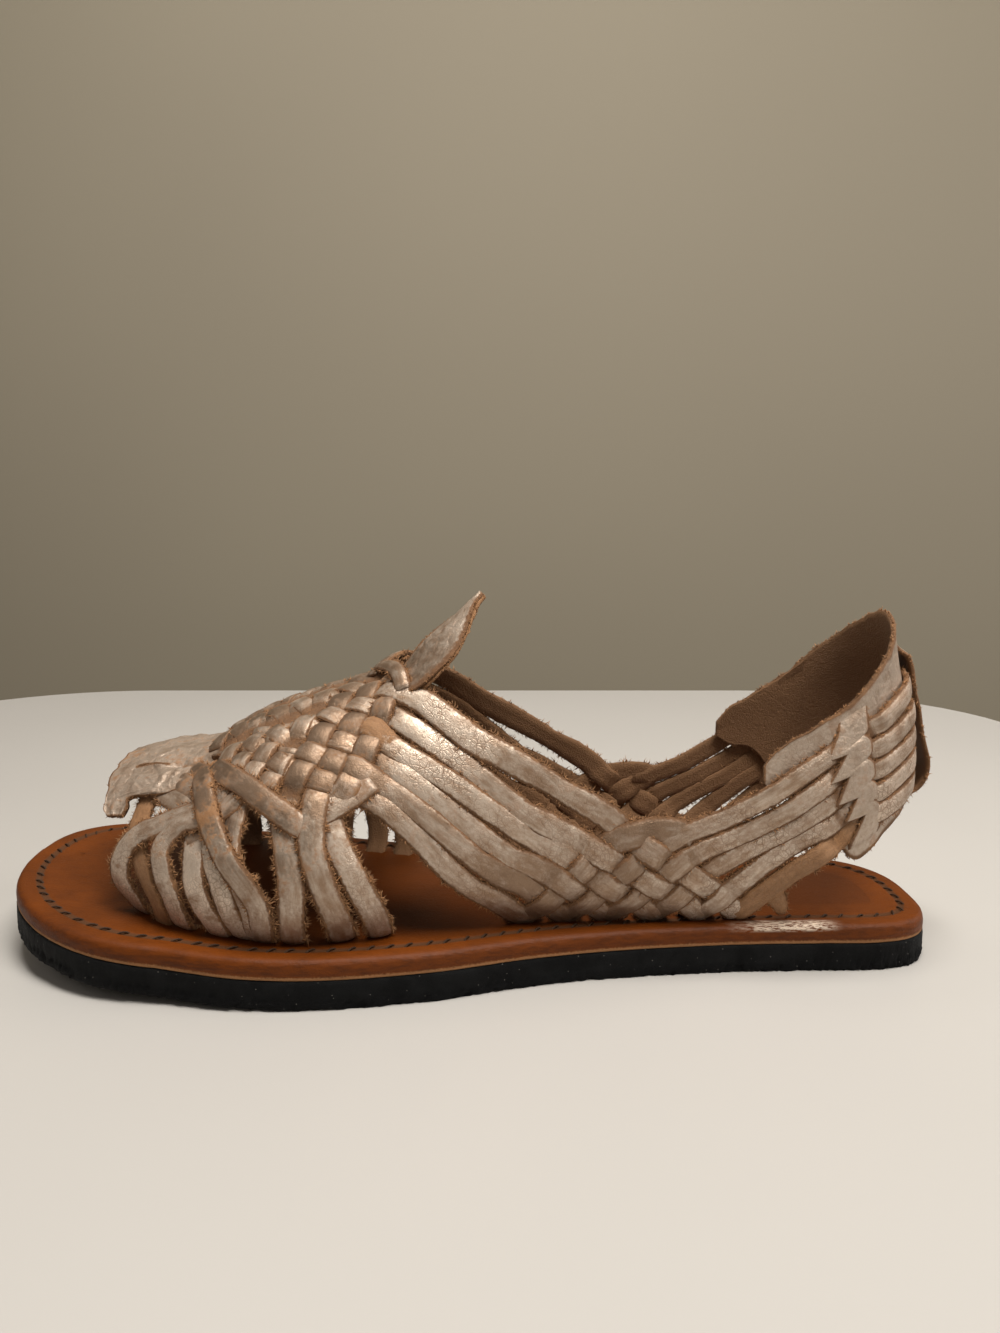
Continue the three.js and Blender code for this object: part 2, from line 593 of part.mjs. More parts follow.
function upper() {
  const parts = [weaveWall(), ...weaveCells()];
  SIDE_STRAPS.forEach((rows, k) => {
    const step = k % 2 === 0 ? STRAP_STEP : 0;
    parts.push(...both(rows.map(([u, g, off]) => [u, g, (off ?? 0) + step])));
  });
  for (const side of [-1, 1]) parts.push(braidWall(side), ...braidCells(side));
  for (const rows of HEEL_STRAPS) parts.push(...both(byHeight(rows), { width: HEEL_STRAP_WIDTH }));
  parts.push(...both(byHeight(BRAID_FOLD)), ...braidTies());
  for (const rows of TOE_STRIPS) parts.push(...both(rows));
  for (const rows of [TAN_STRIP, HIGH_STRIP, BORDER_STRIP, LOW_BORDER]) parts.push(...both(rows));
  return mainShell(joined(parts).subtract(floorBlock()));
}
function heelPiece() {
  const parts = [heelSheet(-1), heelSheet(1)];
  parts.push(solid(ribbon(byHeight(BACK_COLUMN), { width: COLUMN_WIDTH, thick: SHEET_THICK, steps: 14 })));
  for (const made of both(byHeight(SIDE_COLUMN), { width: COLUMN_WIDTH, thick: SHEET_THICK, steps: 14 })) parts.push(made);
  return mainShell(joined(parts).subtract(joined(roomFor(HEEL_STRAPS.map(byHeight)))));
}
// Room kept free around strips that pass close to another piece.
function roomFor(list) {
  const room = { width: STRIP_WIDTH + 2 * CLEARANCE, thick: STRIP_THICK + 2 * CLEARANCE };
  return list.flatMap((rows) => both(rows.map(([u, g, off]) => [u, g, (off ?? 0) - CLEARANCE]), room));
}

function leather(colour, roughness, metalness) {
  return new THREE.MeshStandardMaterial({ color: colour, roughness, metalness });
}
function named(name, made, material) {
  const mesh = new THREE.Mesh(made.isBufferGeometry ? made : geometryOf(made), material);
  mesh.name = name;
  return mesh;
}

const outsole = solid(soleLayer(0, OUTSOLE_THICK, 0, 0.8, 0.3));
const insoleLow = OUTSOLE_THICK + LAYER_GAP;
const insole = solid(soleLayer(insoleLow, FLOOR_Z, INSOLE_INSET, 0.3, EDGE_ROUND));

const shoe = new THREE.Group();
shoe.name = 'woven_sandal';
shoe.add(named('outsole', outsole, leather(0x1d1e20, 0.85, 0)));
shoe.add(named('insole', insole, leather(0xa4592a, 0.45, 0)));
shoe.add(named('upper', upper(), leather(0x9a8071, 0.42, 0.35)));
shoe.add(named('heel_counter', heelPiece(), leather(0x9a8376, 0.5, 0.25)));
const tongue = solid(ribbon(TONGUE, { width: TONGUE_WIDTH, thick: TONGUE_THICK, steps: 9 }));
shoe.add(named('tongue', tongue, leather(0xa28b7c, 0.45, 0.3)));
shoe.add(named('toe_tab', toeTab(), leather(0x9b8272, 0.5, 0.25)));

export default shoe;
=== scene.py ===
import math
import bpy
import numpy as np
from bpy.props import FloatProperty, FloatVectorProperty, IntProperty, PointerProperty
from bpy.types import Operator, Panel, PropertyGroup
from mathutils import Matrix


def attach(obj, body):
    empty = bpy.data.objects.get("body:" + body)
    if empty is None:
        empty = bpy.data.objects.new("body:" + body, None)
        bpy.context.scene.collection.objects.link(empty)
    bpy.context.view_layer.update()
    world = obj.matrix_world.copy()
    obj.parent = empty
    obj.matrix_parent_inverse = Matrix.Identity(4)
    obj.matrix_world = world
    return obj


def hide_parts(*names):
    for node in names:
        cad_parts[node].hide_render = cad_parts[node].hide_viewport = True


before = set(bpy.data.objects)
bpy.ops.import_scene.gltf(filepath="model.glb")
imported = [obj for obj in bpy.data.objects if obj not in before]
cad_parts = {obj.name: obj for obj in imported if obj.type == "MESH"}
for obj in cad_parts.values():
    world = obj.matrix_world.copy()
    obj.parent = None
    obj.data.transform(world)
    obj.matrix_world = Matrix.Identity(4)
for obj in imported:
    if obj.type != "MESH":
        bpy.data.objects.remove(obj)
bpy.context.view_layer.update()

bl_info = {
    "name": "Woven leather sandal",
    "version": (1, 0, 0),
    "blender": (4, 5, 0),
    "location": "View3D > Sidebar > Sandal",
    "description": "Lays the straps, soles, stitches and heel piece of a woven sandal on its packed frame",
    "category": "Object",
}

# Sizes of the shoe in mm, the same as in the model that was packed
MM = 0.001
SOLE_LENGTH = 260
OUTSOLE_THICK = 7.7
INSOLE_THICK = 5.0
LAYER_GAP = 0.3
TOE_SPRING = 8.2
SPRING_START = 0.42
BALL_HALF_WIDTH = 50.2
FOOT_HEIGHT = 118
HEEL_AXIS = 0.869
HEEL_RADIUS = 28
SQUARENESS = 2.3
TUCK_HEIGHT = 22
ARC_RADIUS = 30
TOE_X = -SOLE_LENGTH / 2
HEEL_X = TOE_X + SOLE_LENGTH * HEEL_AXIS
FLOOR_Z = OUTSOLE_THICK + LAYER_GAP + INSOLE_THICK
BACK_U = HEEL_X + ARC_RADIUS * math.pi / 2


def table(*rows):
    """Rows of numbers as an array."""
    return np.array(rows, float)


# Outline of the sole: share of its length, half width and centre line as shares of the ball half width
SOLE = table((0.21, 0.966, 0.036), (0.288, 0.998, 0), (0.367, 0.958, -0.032), (0.474, 0.827, -0.068),
             (0.571, 0.677, -0.06), (0.66, 0.598, -0.04), (0.766, 0.566, -0.008), (0.88, 0.566, 0.02))
TOE_MIDDLE, HEEL_MIDDLE, TOE_POWER, HEEL_POWER = 0.24, -0.06, 2.35, 2.7
# Room of the foot: share of length, lateral, medial, height, tuck, middle
FOOT = table((0.046, 0.239, 0.438, 0.2, 0.2, 0.12), (0.096, 0.438, 0.598, 0.252, 0.2, 0.1),
             (0.165, 0.588, 0.737, 0.303, 0.2, 0.08), (0.212, 0.757, 0.837, 0.33, 0.17, 0.06),
             (0.288, 0.896, 0.876, 0.424, 0.165, 0.06), (0.346, 0.936, 0.847, 0.475, 0.165, 0.06),
             (0.415, 0.857, 0.777, 0.53, 0.2, 0.06), (0.5, 0.727, 0.677, 0.653, 0.26, 0.04),
             (0.577, 0.637, 0.608, 0.788, 0.28, 0.02), (0.673, 0.598, 0.568, 0.915, 0.27, 0.02),
             (0.769, 0.588, 0.568, 0.966, 0.27, 0.02), (0.869, 0.598, 0.578, 0.966, 0.3, 0.02))
# Radius at the back of the heel by height
BACK = table((0, 0.82), (8, 0.88), (18, 0.94), (30, 0.99), (42, 1), (52, 0.98), (60, 0.93), (70, 0.85),
             (82, 0.75), (100, 0.68))


def hermite(x, y, at):
    """Smooth reading of y, known at x, at other places."""
    at = np.clip(at, x[0], x[-1])
    k = np.clip(np.searchsorted(x, at) - 1, 0, len(x) - 2)
    order = np.arange(len(x))
    before, after = np.maximum(order - 1, 0), np.minimum(order + 1, len(x) - 1)
    span = x[after] - x[before]
    span = span if y.ndim == 1 else span[:, None]
    slope = (y[after] - y[before]) / span
    h = x[k + 1] - x[k]
    t = (at - x[k]) / h
    if y.ndim == 2:
        h, t = h[..., None], t[..., None]
    t2, t3 = t * t, t * t * t
    return ((2 * t3 - 3 * t2 + 1) * y[k] + (t3 - 2 * t2 + t) * h * slope[k]
            + (3 * t2 - 2 * t3) * y[k + 1] + (t3 - t2) * h * slope[k + 1])


def read(rows, at, column):
    """One column of a table at given places."""
    return hermite(rows[:, 0], rows[:, column], at)


def lift(x):
    """Rise of the sole under the toes."""
    start = TOE_X + SPRING_START * SOLE_LENGTH
    u = np.maximum(0, (start - x) / (start - TOE_X))
    return TOE_SPRING * u * u


def foot(u, girth):
    """Points on the room of the foot: u along it and round the heel, girth 0 lateral, 1 ridge, 2 medial."""
    u, girth = np.broadcast_arrays(np.asarray(u, float), np.asarray(girth, float))
    side = np.where(girth <= 1, -1.0, 1.0)
    g = np.where(girth <= 1, girth, 2 - girth)
    x = np.minimum(u, HEEL_X)
    share = (x - TOE_X) / SOLE_LENGTH
    height = FOOT_HEIGHT * read(FOOT, share, 3)
    middle = BALL_HALF_WIDTH * read(FOOT, share, 5)
    width = np.where(side < 0, read(FOOT, share, 1), read(FOOT, share, 2))
    reach = BALL_HALF_WIDTH * width - side * middle
    a = np.maximum(g, 0) * math.pi / 2
    up = height * np.sin(a) ** (2 / SQUARENESS)
    near = 1 - read(FOOT, share, 4) * np.clip(1 - up / TUCK_HEIGHT, 0, 1) ** 2
    half = reach * np.maximum(np.cos(a), 1e-6) ** (2 / SQUARENESS) * near
    turn = np.maximum(u - HEEL_X, 0) / ARC_RADIUS
    blend = np.sin(np.minimum(turn, math.pi)) ** 2
    r = half * (1 - blend) + HEEL_RADIUS * read(BACK, up, 1) * blend
    z = FLOOR_Z + lift(x) + up + np.minimum(g, 0) * 100
    return np.stack([x + r * np.sin(turn), middle + side * r * np.cos(turn), z], -1)


def unit(v):
    """Vectors of length one."""
    return v / np.maximum(np.linalg.norm(v, axis=-1, keepdims=True), 1e-9)


def foot_normal(u, girth):
    """Directions that point away from the foot."""
    g = np.clip(girth, 0.01, 1.99)
    along = foot(u + 0.4, g) - foot(u - 0.4, g)
    around = foot(u, g + 0.006) - foot(u, g - 0.006)
    return unit(np.cross(along, around))


def off_foot(u, girth, off):
    """Points a given distance off the foot."""
    return foot(u, girth) + foot_normal(u, girth) * np.asarray(off)[..., None]


def girth_at(u, height):
    """Girth share on the lateral side at a height above the insole."""
    share = (np.minimum(u, HEEL_X) - TOE_X) / SOLE_LENGTH
    whole = FOOT_HEIGHT * read(FOOT, share, 3)
    up = np.clip(np.maximum(height, 0) / whole, 0, 1) ** (SQUARENESS / 2)
    return np.where(height <= 0, np.asarray(height) / 100, np.arcsin(up) * 2 / math.pi)


def sole_point(share, side):
    """Outline of the sole at shares of its length."""
    half, middle = read(SOLE, share, 1), read(SOLE, share, 2)
    v = np.clip(1 - share / SOLE[0, 0], 0, 1)
    toe = share < SOLE[0, 0]
    half = np.where(toe, SOLE[0, 1] * (1 - v ** TOE_POWER) ** (1 / TOE_POWER), half)
    middle = np.where(toe, SOLE[0, 2] + (TOE_MIDDLE - SOLE[0, 2]) * v ** 1.6, middle)
    w = np.clip((share - SOLE[-1, 0]) / (1 - SOLE[-1, 0]), 0, 1)
    heel = share > SOLE[-1, 0]
    half = np.where(heel, SOLE[-1, 1] * np.maximum(0, 1 - w ** HEEL_POWER) ** (1 / HEEL_POWER), half)
    middle = np.where(heel, SOLE[-1, 2] + (HEEL_MIDDLE - SOLE[-1, 2]) * w ** 2, middle)
    return np.stack([TOE_X + share * SOLE_LENGTH, BALL_HALF_WIDTH * (middle + side * half)], -1)


def sole_outline(steps):
    """Points round the sole from the toe along the lateral side and back, and their inward aims."""
    share = 0.5 - 0.5 * np.cos(np.pi * np.arange(steps + 1) / steps)
    ring = np.concatenate([sole_point(share, -1), sole_point(share[-2:0:-1], 1)])
    way = unit(np.roll(ring, -1, 0) - np.roll(ring, 1, 0))
    return ring, np.stack([-way[:, 1], way[:, 0]], -1)


def wander(rng, count, every):
    """Smooth random numbers about -1 to 1, with a new value after so many steps."""
    knots = max(4, int(count / every) + 3)
    values = rng.uniform(-1, 1, knots)
    return hermite(np.arange(knots, dtype=float), values, np.linspace(0, knots - 1, count))


# Strips of leather

# Marks on the points: tone also carries painted light and shade, and raw also carries painted shade in
# crevices
MARKS = ("across", "raw", "back", "tan", "tone", "run")
# Painted light and shade of the film along the foot, high on it and low on it: painted shade on the weave and
# braid, painted highlight on the instep
PAINTED_LIGHT_ALONG_FOOT = table((-130, -0.3, 0.4), (-75, -0.6, 0.6), (-32, -1.0, 0.7), (-20, -0.6, 0.4), (-10, 0.9, 0),
              (6, 1.6, -0.4), (20, 1.0, -0.8), (42, -0.2, -0.8), (60, 0.1, -0.6), (75, 0.3, 0),
              (145, 0.5, 0.3))


def strip_section(columns):
    """Section of a strip: place across, place up, raw and back marks, going round once."""
    top = np.linspace(-1, 1, columns)
    rows = [(x * 0.95, 1 - 0.15 * abs(x) ** 5, 0.25 * abs(x) ** 8, 0) for x in top]
    rows += [(1, 0.7, 1, 0), (1.0, 0.28, 1, 0.3), (0.9, 0.0, 0.7, 1)]
    rows += [(x, 0, 0, 1) for x in (0.35, -0.35)]
    rows += [(-0.9, 0.0, 0.7, 1), (-1.0, 0.28, 1, 0.3), (-1, 0.7, 1, 0)]
    return np.array(rows, float)


class Leather:
    """Leather being laid: points, faces and marks of many strips and panels, and their raw edges."""

    def __init__(self):
        self.points, self.quads, self.tris, self.marks = [], [], [], []
        self.edges, self.aims = [], []
        self.count = 0

    def add(self, points, quads, tris, marks):
        """Takes in one closed shape."""
        self.points.append(points)
        self.marks.append(marks)
        self.quads.append(np.asarray(quads, int).reshape(-1, 4) + self.count)
        self.tris.append(np.asarray(tris, int).reshape(-1, 3) + self.count)
        self.count += len(points)

    def edge(self, points, aims):
        """Takes in points of a raw edge, with the way its fibres grow."""
        self.edges.append(points)
        self.aims.append(aims)

    def tube(self, rings, marks):
        """Closed shape through rings of points, with fans over both ends."""
        count, size = rings.shape[:2]
        k = np.arange(size)
        after = (k + 1) % size
        quads = [np.stack([r * size + k, (r + 1) * size + k, (r + 1) * size + after, r * size + after], -1)
                 for r in range(count - 1)]
        ends = np.stack([rings[0].mean(0), rings[-1].mean(0)])
        end_marks = np.stack([marks[0].mean(0), marks[-1].mean(0)])
        end_marks[:, 1] = 1
        first, last = count * size, count * size + 1
        base = (count - 1) * size
        tris = np.concatenate([np.stack([np.full(size, first), k, after], -1),
                               np.stack([np.full(size, last), base + after, base + k], -1)])
        points = np.concatenate([rings.reshape(-1, 3), ends])
        self.add(points, np.concatenate(quads), tris, np.concatenate([marks.reshape(-1, 6), end_marks]))

    def strip(self, rows, seed, width, thick, crown=0.22, tan=(), tone=None, columns=7, step=1.15):
        """Strip along rows of u, girth, lift and width share. Tan holds u ranges that show the back."""
        rng = np.random.default_rng(seed)
        full = np.array([tuple(r) + (0.0, 1.0)[len(r) - 2:] for r in rows], float)
        chord = np.r_[0, np.cumsum(np.linalg.norm(np.diff(foot(full[:, 0], full[:, 1]), axis=0), axis=1))]
        keep = np.r_[True, np.diff(chord) > 1e-6]
        full, chord = full[keep], chord[keep]
        count = max(6, int(chord[-1] / step) + 1)
        run = np.linspace(0, chord[-1], count)
        u, g, off, share = hermite(chord, full, run).T
        off = off + 0.1 * wander(rng, count, 7)
        normal = foot_normal(u, g)
        middle = foot(u, g) + normal * off[:, None]
        way = unit(np.gradient(middle, axis=0))
        across = np.cross(normal, way)
        good = np.nonzero(np.linalg.norm(across, axis=1) > 0.55)[0]
        nearest = good[np.argmin(np.abs(np.arange(count)[:, None] - good[None]), axis=1)]
        across = unit(across[nearest])
        up = unit(np.cross(way, across))
        roll = np.radians(2.5) * wander(rng, count, 11)
        across, up = (across * np.cos(roll)[:, None] + up * np.sin(roll)[:, None],
                      up * np.cos(roll)[:, None] - across * np.sin(roll)[:, None])
        middle = middle + across * (0.1 * wander(rng, count, 9))[:, None]
        half = width / 2 * share * (1 + 0.03 * wander(rng, count, 8))
        high = thick * (1 + 0.05 * wander(rng, count, 10))
        section = strip_section(columns)
        size = len(section)
        x = np.broadcast_to(section[:, 0], (count, size)).copy()
        z = np.broadcast_to(section[:, 1], (count, size)) * high[:, None]
        z = z + crown * (1 - x * x) * np.where(section[:, 3] > 0.5, 0.6, 1.0)
        raw = np.broadcast_to(section[:, 2], (count, size))
        jag = np.where(raw > 0.6, rng.normal(0, 0.085, (count, size)), 0)
        x = x * half[:, None] + np.sign(x) * jag
        z = z + np.where(raw > 0.6, rng.normal(0, 0.05, (count, size)), 0)
        z = z + 0.07 * wander(rng, count, 2.2)[:, None] * (1 - raw)
        rings = middle[:, None] + across[:, None] * x[..., None] + up[:, None] * z[..., None]
        own = rng.uniform(-1, 1) if tone is None else tone
        # Painted shade in crevices: where a strip dips below its neighbours, its film is shown as dark raw
        # leather and its tone is lowered
        padded = np.pad(off, 4, mode="edge")
        sunk = np.max([padded[k:k + count] for k in range(9)], axis=0) - off
        painted_crevice_shade = np.clip((sunk - 0.35) / 0.8, 0, 1) * np.clip((1.2 - off) / 0.6, 0, 1)
        raw = np.maximum(raw, 0.62 * painted_crevice_shade[:, None])
        # Painted light: the film is lightened where the highlight falls high on the instep and darkened on
        # the weave and braid, by height on the foot
        high_up = np.clip((np.minimum(g, 2 - g) - 0.3) / 0.15, 0, 1)
        own = own + np.interp(u, PAINTED_LIGHT_ALONG_FOOT[:, 0], PAINTED_LIGHT_ALONG_FOOT[:, 1]) * high_up
        own = own + np.interp(u, PAINTED_LIGHT_ALONG_FOOT[:, 0], PAINTED_LIGHT_ALONG_FOOT[:, 2]) * (1 - high_up) - 1.4 * painted_crevice_shade
        shown = np.zeros(count)
        for low, top in tan:
            edge = np.clip((u - low) / 8 + 0.5, 0, 1) * np.clip((top - u) / 8 + 0.5, 0, 1)
            shown = np.maximum(shown, edge)
        ones = np.ones((count, size))
        marks = np.stack([np.broadcast_to(section[:, 0], (count, size)), raw,
                          np.broadcast_to(section[:, 3], (count, size)), shown[:, None] * ones,
                          (own + 0.5 * wander(rng, count, 14))[:, None] * ones,
                          (run + seed % 97 * 13.7)[:, None] * ones], -1)
        self.tube(rings, marks)
        for side in (-1, 1):
            self.edge(middle + across * (side * half)[:, None] + up * (high * 0.5)[:, None],
                      across * side + up * 0.25)

    def panel(self, outer, inner, kept, tone=0.0, across=None, tan=None):
        """Sheet between two grids of points, only where kept is true, with walls round every edge."""
        na, nb = outer.shape[:2]
        index = np.arange(na * nb).reshape(na, nb)
        size = na * nb
        i, j = np.nonzero(kept)
        a, b, c, d = index[i, j], index[i + 1, j], index[i + 1, j + 1], index[i, j + 1]
        quads = [np.stack([a, b, c, d], -1), np.stack([d, c, b, a], -1) + size]
        padded = np.pad(kept, 1)
        rim = []
        for di, dj, p, q in ((0, -1, a, b), (1, 0, b, c), (0, 1, c, d), (-1, 0, d, a)):
            open_side = ~padded[i + 1 + di, j + 1 + dj]
            p, q = p[open_side], q[open_side]
            quads.append(np.stack([q, p, p + size, q + size], -1))
            rim.append(p)
            rim.append(q)
        raw = np.zeros(size)
        rim = np.unique(np.concatenate(rim))
        raw[rim] = 1
        near = raw.reshape(na, nb)
        spread = np.pad(near, 1, mode="edge")
        around = np.maximum.reduce([spread[1:-1, :-2], spread[1:-1, 2:], spread[:-2, 1:-1], spread[2:, 1:-1]])
        raw_top = np.maximum(near, 0.45 * around).reshape(-1)
        side = np.zeros((na, nb)) if across is None else across
        shown = np.zeros((na, nb)) if tan is None else tan
        plain = [np.full(size, tone), np.zeros(size)]
        top = np.stack([side.reshape(-1), raw_top, np.zeros(size), shown.reshape(-1)] + plain, -1)
        under = np.stack([side.reshape(-1), near.reshape(-1), np.ones(size), shown.reshape(-1)] + plain, -1)
        points = np.concatenate([outer.reshape(-1, 3), inner.reshape(-1, 3)])
        used = np.unique(np.concatenate(quads))
        new = np.full(2 * size, -1)
        new[used] = np.arange(len(used))
        marks = np.concatenate([top, under])
        self.add(points[used], new[np.concatenate(quads)], np.zeros((0, 3), int), marks[used])

    def made(self, name, material):
        """The finished object, with its marks as attributes."""
        parts = (self.points, self.quads, self.tris, self.marks)
        points, quads, tris, marks = (np.concatenate(part) for part in parts)
        return mesh_object(name, points, quads, tris, material, dict(zip(MARKS, marks.T)))

    def rim(self, outer, inner, line):
        """Takes in the first column of a panel, 0, or its last, -1, as a raw edge."""
        beside = 1 if line == 0 else -2
        self.edge((outer[:, line] + inner[:, line]) / 2, unit(outer[:, line] - outer[:, beside]))


def mesh_object(name, points, quads, tris, material, marks):
    """Object from points in mm and faces, ready to ride on the frame."""
    mesh = bpy.data.meshes.new(name)
    mesh.vertices.add(len(points))
    mesh.vertices.foreach_set("co", (points * MM).astype(np.float32).ravel())
    loops = np.concatenate([quads.ravel(), tris.ravel()]).astype(np.int32)
    mesh.loops.add(len(loops))
    mesh.loops.foreach_set("vertex_index", loops)
    starts = np.concatenate([np.arange(len(quads)) * 4, len(quads) * 4 + np.arange(len(tris)) * 3])
    mesh.polygons.add(len(starts))
    mesh.polygons.foreach_set("loop_start", starts.astype(np.int32))
    mesh.polygons.foreach_set("use_smooth", np.ones(len(starts), bool))
    for key, values in marks.items():
        layer = mesh.attributes.new(key, "FLOAT", "POINT")
        layer.data.foreach_set("value", np.ascontiguousarray(values, np.float32))
    mesh.update(calc_edges=True)
    mesh.validate()
    mesh.materials.append(material)
    made = bpy.data.objects.new(name, mesh)
    bpy.context.scene.collection.objects.link(made)
    return made


def finished(made, slot, *nodes):
    """Puts a piece on the frame's body and hides the nodes that it stands for. Its finish is not used."""
    if nodes:
        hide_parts(*nodes)
    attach(made, "root")
    return made


# Layout of the straps: u, girth, lift off the foot, width share

def across_foot(rows):
    """The same strip on the medial side."""
    return [(r[0], 2 - r[1]) + tuple(r[2:]) for r in rows]


def by_height(rows):
    """Rows with heights in mm instead of girth shares."""
    return [(r[0], float(girth_at(r[0], r[1]))) + tuple(r[2:]) for r in rows]


WEAVE_BASE = 0.5
WEAVE_RISE = 0.9


def weave_spot(i, j):
    """Place of the crossing of lateral strip i and medial strip j."""
    m, n = (i + j - 3) / 2, (i + 3 - j) / 2
    w = abs(n)
    soft = w * (1 - math.exp(-2.2 * w))
    u = -28.5 - 7.2 * m + 0.22 * m * m + (4.2 - 0.65 * m) * soft + 0.15 * w * w
    drop = w * (0.197 - 0.016 * w + 0.005 * m)
    return u, 1 - drop if n >= 0 else 1 + drop


def weave_rows(number, start, stop, first):
    """Rows of one strip of the weave, over and under the others in turn."""
    rows = []
    way = 1 if stop > start else -1
    for k in range(int(round(abs(stop - start) * 4)) + 1):
        t = start + way * k / 4
        i, j = (number, t) if first else (t, number)
        c = math.cos(math.pi * (i + j))
        c = c * (1.45 - 0.45 * c * c)
        u, g = weave_spot(i, j)
        rows.append((u, g, WEAVE_BASE + WEAVE_RISE * (c if first else -c), 0.93 if first else 0.98))
    return rows


# Side straps after the weave, their way down the braid, and their return behind the ankle, by height
SIDE_ROWS = [
    [(-12, 0.65, 0.9), (2, 0.425, 0.5), (14, 0.305, 0.4)],
    [(-15, 0.58, 0.3), (-4, 0.42, 0.1), (8, 0.275, 0)],
    [(-18, 0.52, 0.3), (-10, 0.41, 0.4), (4, 0.26, 0.4)],
    [(-14, 0.40, 0.3), (-4, 0.275, 0.05), (6, 0.175, 0)],
    [(-20, 0.405, 0.3), (-10, 0.285, 0.4), (-2, 0.195, 0.4)],
    [(-20, 0.345, 0.2), (-12, 0.245, 0), (-4, 0.145, 0)],
]
BRAID_DOWN = [
    [(26, 38), (38, 31), (44, 25.5), (52, 20), (64, 12.5), (72, 5.4), (74.5, 2.6)],
    [(16, 32.5), (28, 26), (38, 20), (50, 13), (58, 8.5), (62.5, 4.4), (64.5, 2)],
    [(14, 28.5), (22, 24), (30, 19), (37, 13.5), (45, 8.5), (50, 4), (52, 1.8)],
    [(13, 21), (20, 18), (28, 13), (34, 7), (38, 3.6), (40, 1.6)],
    [(4, 21), (10, 17), (17, 13), (24, 6), (27, 3.2), (28.8, 1.5)],
    [(3, 13.5), (9, 9.5), (14, 5), (16.5, 2.8), (18.5, 1.4)],
]
BRAID_UP = [
    [(74, 2.4), (79, 9), (86, 15.5)],
    [(62, 2), (66, 5.5), (71, 11), (77, 16.5)],
    [(50, 1.8), (54, 5.4), (60, 11.5), (66.5, 17.2)],
    [(38, 1.8), (43, 5.8), (50, 12), (57, 18.2), (63, 21.8)],
    [(27, 1.8), (31, 5.2), (37, 11), (44, 17.2), (51, 22.2), (59, 26.4)],
    [(15.5, 1.8), (20, 6), (26, 11.4), (31.5, 17), (36.5, 22), (42, 25.4), (49, 26.9), (56, 27),
     (60.5, 25.5)],
]
SHEET_THICK = 1.5
OVER_SHEET = SHEET_THICK + 0.35
# Straps round the heel, by height, lifted over the sheet where no lift is given
HEEL_ROWS = [
    [(94, 21.5), (101, 27), (109, 31.5), (122, 35.2), (144.5, 36.6)],
    [(79, 18, 0.2), (88, 24.5, 0.6), (96, 29), (103, 34), (110, 37.6), (122, 41.3), (144.5, 43)],
    [(76, 22.5, 0.3), (85, 27.5, 0.8), (94, 33.5), (101, 38.3), (109, 43), (122, 47.3), (144.5, 49.5)],
    [(73, 26, 0.5), (84, 32), (92, 37.7), (100, 43.5), (108, 48.3), (122, 53.5), (144.5, 56)],
    [(68, 30, 0.6), (80, 36.5), (90, 43.3), (99, 49), (108, 54), (122, 60), (144.5, 62.5)],
]
BRAID_BASE = 0.5
BRAID_RISE = 0.82


def dense(rows, step=1.0):
    """Rows filled in evenly by smooth steps."""
    full = np.array(rows, float)
    chord = np.r_[0, np.cumsum(np.hypot(np.diff(full[:, 0]), np.diff(full[:, 1])))]
    return hermite(chord, full, np.linspace(0, chord[-1], int(chord[-1] / step) + 2))


def braid_paths():
    """Down and up paths of the side braid, with the one on top at each crossing raised."""
    down = [dense([(u, h, BRAID_BASE) for u, h in rows]) for rows in BRAID_DOWN]
    up = [dense([(u, h, BRAID_BASE) for u, h in rows]) for rows in BRAID_UP]
    for k, a in enumerate(down):
        for l, b in enumerate(up):
            if l <= k:
                continue
            gap = np.hypot(a[:, None, 0] - b[None, :, 0], a[:, None, 1] - b[None, :, 1])
            p, q = np.unravel_index(np.argmin(gap), gap.shape)
            if gap[p, q] > 1.2:
                continue
            over = 1 if (k + l) % 2 == 0 else -1
            for path, spot, sign in ((a, p, over), (b, q, -over)):
                away = np.hypot(path[:, 0] - path[spot, 0], path[:, 1] - path[spot, 1])
                path[:, 2] += sign * BRAID_RISE * np.cos(np.clip(away / 4.6, 0, 1) * math.pi / 2) ** 1.5
    return down, up


# Ends of the straps at the foot of the braid: height, lift and width share
TUCKED = ((1.2, -0.9, 0.9), (0.5, -2.6, 0.8))
# Width shares of the first strap between the weave and the braid
FIRST_WIDTHS = (1.1, 1.16, 1.12)


def side_strap(k, down):
    """The k-th strap from the front of the weave down to the foot of the braid."""
    rows = weave_rows(k + 1, 10.6, 1, True)
    rows += [(*row, wide) for row, wide in zip(SIDE_ROWS[k], FIRST_WIDTHS if k == 0 else (0.97,) * 3)]
    path = down[k]
    fade = np.clip(np.arange(len(path)) / 8, 0, 1)
    for (u, h, off), f in zip(path, fade):
        rows.append((u, float(girth_at(u, h)), 0.3 * (1 - f) + off * f, 0.95 + 0.17 * f))
    u = path[-1][0]
    rows += by_height([(u + 0.9, *TUCKED[0]), (u + 1.2, *TUCKED[1])])
    return rows


def return_strap(l, up):
    """The l-th returning strap, from the foot of the braid up and round the heel."""
    path = up[l]
    rows = by_height([(path[0][0] - 1.1, *TUCKED[1]), (path[0][0] - 0.8, *TUCKED[0])])
    full = np.clip((len(path) - 1 - np.arange(len(path))) / 8, 0, 1)
    rows += [(u, float(girth_at(u, h)), off, 0.96 + 0.18 * f) for (u, h, off), f in zip(path, full)]
    if l < len(HEEL_ROWS):
        for u, h, off in dense([(*row, OVER_SHEET)[:3] for row in HEEL_ROWS[l]], 1.6):
            into = np.clip((u - 93.5 + 0.4 * l) / 5, 0, 1) * np.clip((109.5 - u) / 4.5, 0, 1)
            rows += by_height([(u, h, off - 1.55 * into * into * (3 - 2 * into), 0.92)])
    return rows


